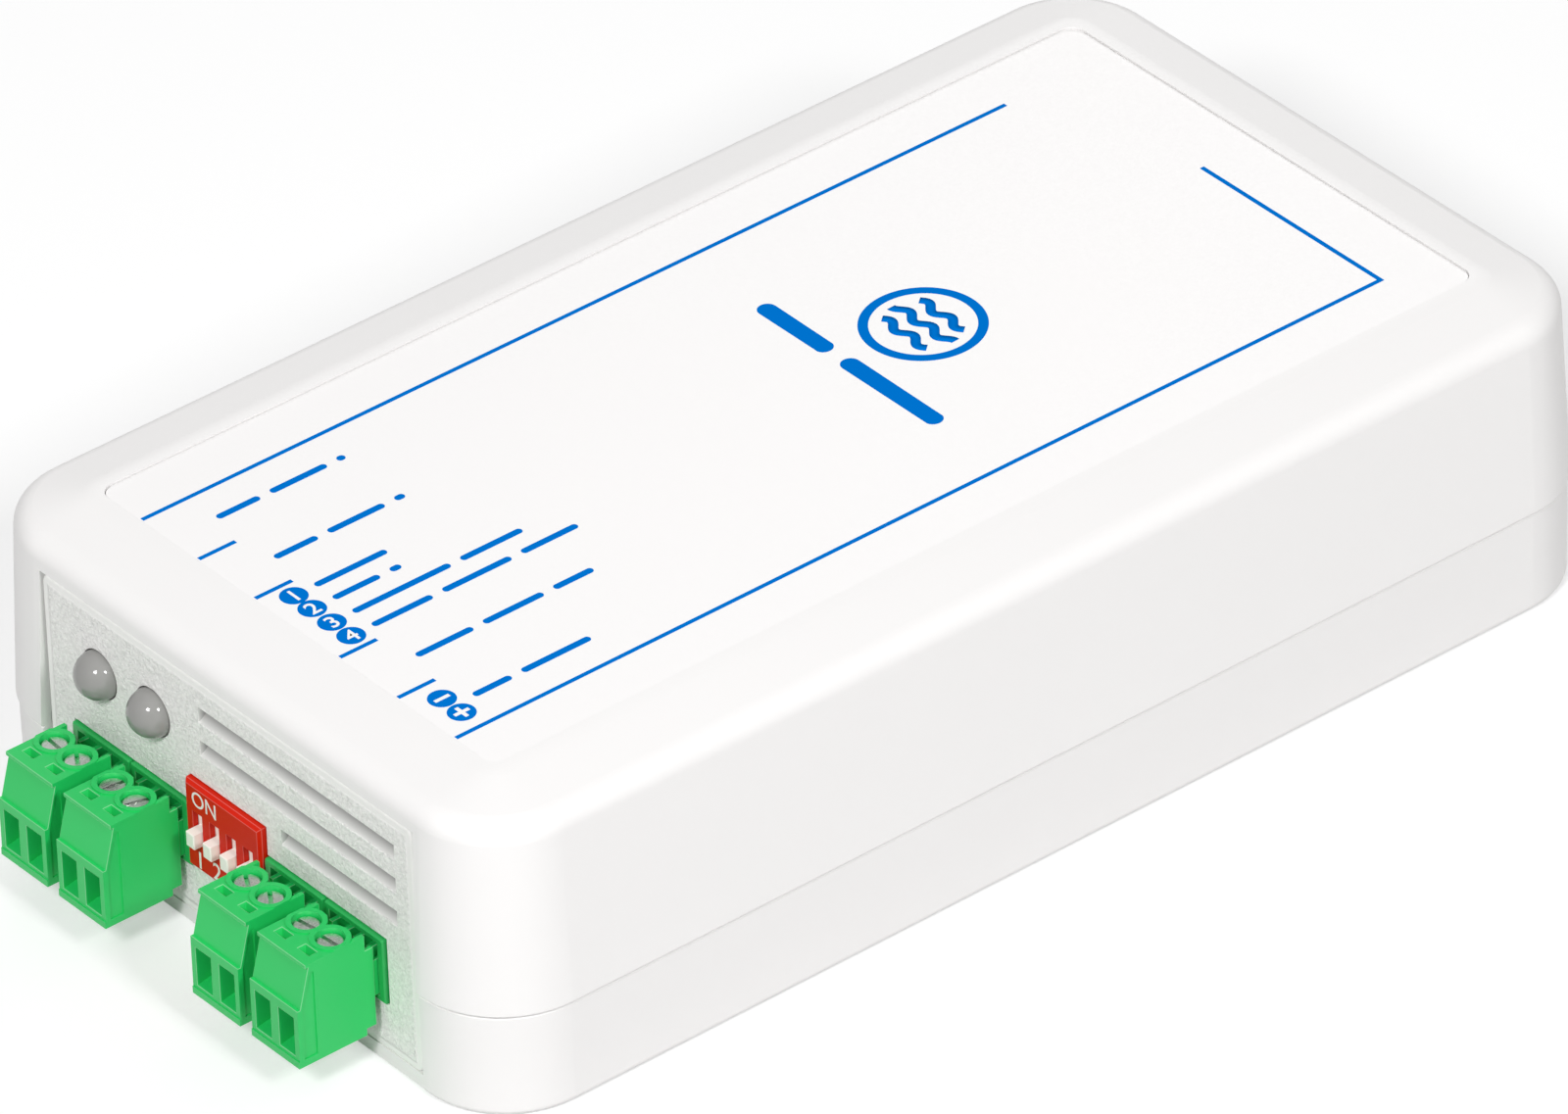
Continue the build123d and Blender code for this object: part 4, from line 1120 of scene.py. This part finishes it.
class LEAK_OT_switch_block(bpy.types.Operator):
    """Finish the red switch block, its print and its sliders"""

    bl_idname = "leak.switch_block"
    bl_label = "Switch block"

    def execute(self, context):
        look = context.scene.leak_switch
        # The red gets a painted highlight on its rounded edges (edge).
        red = plastic(
            "switch_plastic", look.shell_colour, roughness=0.5, size=0.15 * MM, height=0.003 * MM,
            drift=0.06, gloss=0.2, edge=0.1,
        )
        cream = plastic(
            "knob_plastic", look.knob_colour, roughness=0.35, size=0.15 * MM, height=0.001 * MM, drift=0.03
        )
        shell = worked_copy("dip_housing", "switch_shell")
        soften(shell, look.shell_edge)
        dress(shell, red, "switch_red", "case", "dip_housing")
        for number in NUMBERS:
            node = f"dip_slider_{number}"
            knob = worked_copy(node, f"slide_knob_{number}")
            smooth(knob)
            dress(knob, cream, "knob_white", f"slider_{number}", node)
        self.white_print(look)
        return {"FINISHED"}

    def white_print(self, look):
        """The word ON at the top and a number under each slider."""
        white = plastic(
            "white_ink", look.print_colour, roughness=0.5, size=0.15 * MM, height=0.001 * MM,
            drift=0.04, gloss=0.4,
        )
        face_y = SWITCH_LOW.y - PRINT_THICKNESS / 2
        upright = (pi / 2, 0, 0)
        word_centre = (SWITCH_LOW.x + WORD_SIDE * MM, face_y, SWITCH_HIGH.z - WORD_DROP * MM)
        word = letters("ON", look.word_height, word_centre, upright, WORD_WEIGHT)
        word.name = "on_word"
        dress(word, white, "switch_red", "case")
        for number in NUMBERS:
            slider_low, slider_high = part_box(f"dip_slider_{number}")
            number_x = (slider_low.x + slider_high.x) / 2 + NUMBER_SIDE * MM
            centre = (number_x, face_y, SWITCH_LOW.z + NUMBER_RISE * MM)
            digit = letters(str(number), look.number_height, centre, upright, NUMBER_WEIGHT)
            digit.name = f"switch_number_{number}"
            dress(digit, white, "switch_red", "case")


class LEAK_OT_status_lights(bpy.types.Operator):
    """Give the status lights their cloudy resin"""

    bl_idname = "leak.status_lights"
    bl_label = "Status lights"

    def execute(self, context):
        look = context.scene.leak_lights
        clear = resin("light_resin", look.resin_colour, look.clearness)
        for number in (1, 2):
            piece = worked_copy(f"status_led_{number}", f"light_dome_{number}")
            smooth(piece)
            dress(piece, clear, "led_clear", "case", f"status_led_{number}")
        return {"FINISHED"}


class LEAK_OT_board_parts(bpy.types.Operator):
    """Finish the circuit board and the parts inside the case"""

    bl_idname = "leak.board_parts"
    bl_label = "Board and its parts"

    def execute(self, context):
        mask_green = plastic(
            "solder_mask", (0.03, 0.2, 0.07), roughness=0.3, size=0.5 * MM, height=0.01 * MM, drift=0.3
        )
        black = plastic(
            "black_moulding", (0.025, 0.025, 0.027), roughness=0.5, size=0.2 * MM, height=0.004 * MM,
            drift=0.3,
        )
        ivory = plastic(
            "relay_moulding", (0.78, 0.76, 0.7), roughness=0.35, size=0.3 * MM, height=0.002 * MM,
            drift=0.03,
        )
        sleeve = plastic(
            "sleeve_film", (0.03, 0.04, 0.1), roughness=0.25, size=0.4 * MM, height=0.002 * MM,
            drift=0.2, gloss=0.6,
        )
        paint("circuit_board", mask_green)
        for node in ("beeper", "power_regulator", "controller_chip", "dip_base"):
            paint(node, black)
        paint("relay", ivory)
        paint("filter_capacitor", sleeve)
        return {"FINISHED"}


class LEAK_OT_stage(bpy.types.Operator):
    """Set the camera, the pale floor and the soft lamps"""

    bl_idname = "leak.stage"
    bl_label = "Studio stage"

    def execute(self, context):
        look = context.scene.leak_stage
        scene = context.scene
        scene.view_settings.view_transform = "Standard"
        self.camera(scene, look)
        self.floor(look)
        self.world(scene, look)
        self.lamps(scene, look)
        return {"FINISHED"}

    def looking_in(self, azimuth, elevation, distance, aim):
        """Place and turn of a camera or lamp that looks at its aim from a distance."""
        level = Vector((sin(azimuth), -cos(azimuth), 0)) * cos(elevation)
        towards = level + Vector((0, 0, sin(elevation)))
        facing = (-towards).to_track_quat("-Z", "Y").to_matrix().to_4x4()
        return Matrix.Translation(aim + towards * distance) @ facing

    def camera(self, scene, look):
        """A long lens at the photograph's angle."""
        camera = bpy.data.objects.new("camera", bpy.data.cameras.new("camera"))
        scene.collection.objects.link(camera)
        place = self.looking_in(look.azimuth, look.elevation, look.distance, Vector(CAMERA_AIM) * MM)
        camera.matrix_world = place @ Matrix.Rotation(look.roll, 4, "Z")
        camera.data.sensor_width = SENSOR_WIDTH
        camera.data.lens = look.lens
        camera.data.clip_end = VIEW_DEPTH
        scene.camera = camera

    def floor(self, look):
        """A plain pale floor that keeps the object's shadow."""
        bpy.ops.object.select_all(action="DESELECT")
        bpy.ops.mesh.primitive_plane_add(size=FLOOR_SIZE, location=(0, 0, FLOOR_LEVEL))
        floor = bpy.context.object
        floor.name = "floor"
        material, tree, shader = new_material("floor_paper")
        shader.inputs["Base Color"].default_value = (*look.floor_colour, 1)
        shader.inputs["Roughness"].default_value = 0.9
        shader.inputs["Specular IOR Level"].default_value = 0.1
        lift = maths(tree, "MULTIPLY", self.seen_rays(tree), FLOOR_LIFT)
        tree.links.new(lift, shader.inputs["Emission Strength"])
        shader.inputs["Emission Color"].default_value = WHITE
        floor.data.materials.append(material)

    def seen_rays(self, tree):
        """1 for rays from the camera, and those off gloss or through resin."""
        path = tree.nodes.new("ShaderNodeLightPath")
        gloss = maths(tree, "MAXIMUM", path.outputs["Is Glossy Ray"], path.outputs["Is Transmission Ray"])
        return maths(tree, "MAXIMUM", path.outputs["Is Camera Ray"], gloss)

    def world(self, scene, look):
        """A soft light from all round that is seen as white."""
        world = bpy.data.worlds.new("studio")
        scene.world = world
        world.use_nodes = True
        tree = world.node_tree
        background = tree.nodes["Background"]
        background.inputs["Color"].default_value = WHITE
        extra = maths(tree, "MULTIPLY", self.seen_rays(tree), 1 - look.world_strength)
        tree.links.new(maths(tree, "ADD", extra, look.world_strength), background.inputs["Strength"])

    def lamps(self, scene, look):
        """Soft boxes that face the object."""
        for name, share, azimuth, elevation in LAMPS:
            lamp = bpy.data.lights.new(name, "AREA")
            lamp.energy = share * look.lamp_power
            lamp.size = look.lamp_size
            holder = bpy.data.objects.new(name, lamp)
            scene.collection.objects.link(holder)
            middle = Vector((0, 0, 0))
            holder.matrix_world = self.looking_in(azimuth, elevation, look.lamp_distance, middle)


class LEAK_PT_panel(bpy.types.Panel):
    """Sizes, colours and steps of the leak detector"""

    bl_idname = "LEAK_PT_panel"
    bl_label = "Water leak detector"
    bl_space_type = "VIEW_3D"
    bl_region_type = "UI"
    bl_category = "Leak detector"

    def draw(self, context):
        for step in STEPS:
            self.layout.operator(step.bl_idname)
        for name, group in FINISH_GROUPS.items():
            box = self.layout.box()
            for prop in group.__annotations__:
                box.prop(getattr(context.scene, name), prop)


STEPS = (
    LEAK_OT_shells,
    LEAK_OT_end_panels,
    LEAK_OT_label,
    LEAK_OT_terminals,
    LEAK_OT_metal_parts,
    LEAK_OT_switch_block,
    LEAK_OT_status_lights,
    LEAK_OT_board_parts,
    LEAK_OT_stage,
)
CLASSES = (*FINISH_GROUPS.values(), *STEPS, LEAK_PT_panel)


def register():
    """Register the classes and hang the sizes and colours on the scene."""
    for kind in CLASSES:
        bpy.utils.register_class(kind)
    for name, group in FINISH_GROUPS.items():
        setattr(bpy.types.Scene, name, bpy.props.PointerProperty(type=group))


def unregister():
    """Take the sizes, the colours and the classes away again."""
    for name in FINISH_GROUPS:
        delattr(bpy.types.Scene, name)
    for kind in reversed(CLASSES):
        bpy.utils.unregister_class(kind)


def main():
    """Build the whole look."""
    register()
    bpy.ops.leak.shells()
    bpy.ops.leak.end_panels()
    bpy.ops.leak.label()
    bpy.ops.leak.terminals()
    bpy.ops.leak.metal_parts()
    bpy.ops.leak.switch_block()
    bpy.ops.leak.status_lights()
    bpy.ops.leak.board_parts()
    bpy.ops.leak.stage()


if __name__ == "__main__":
    main()
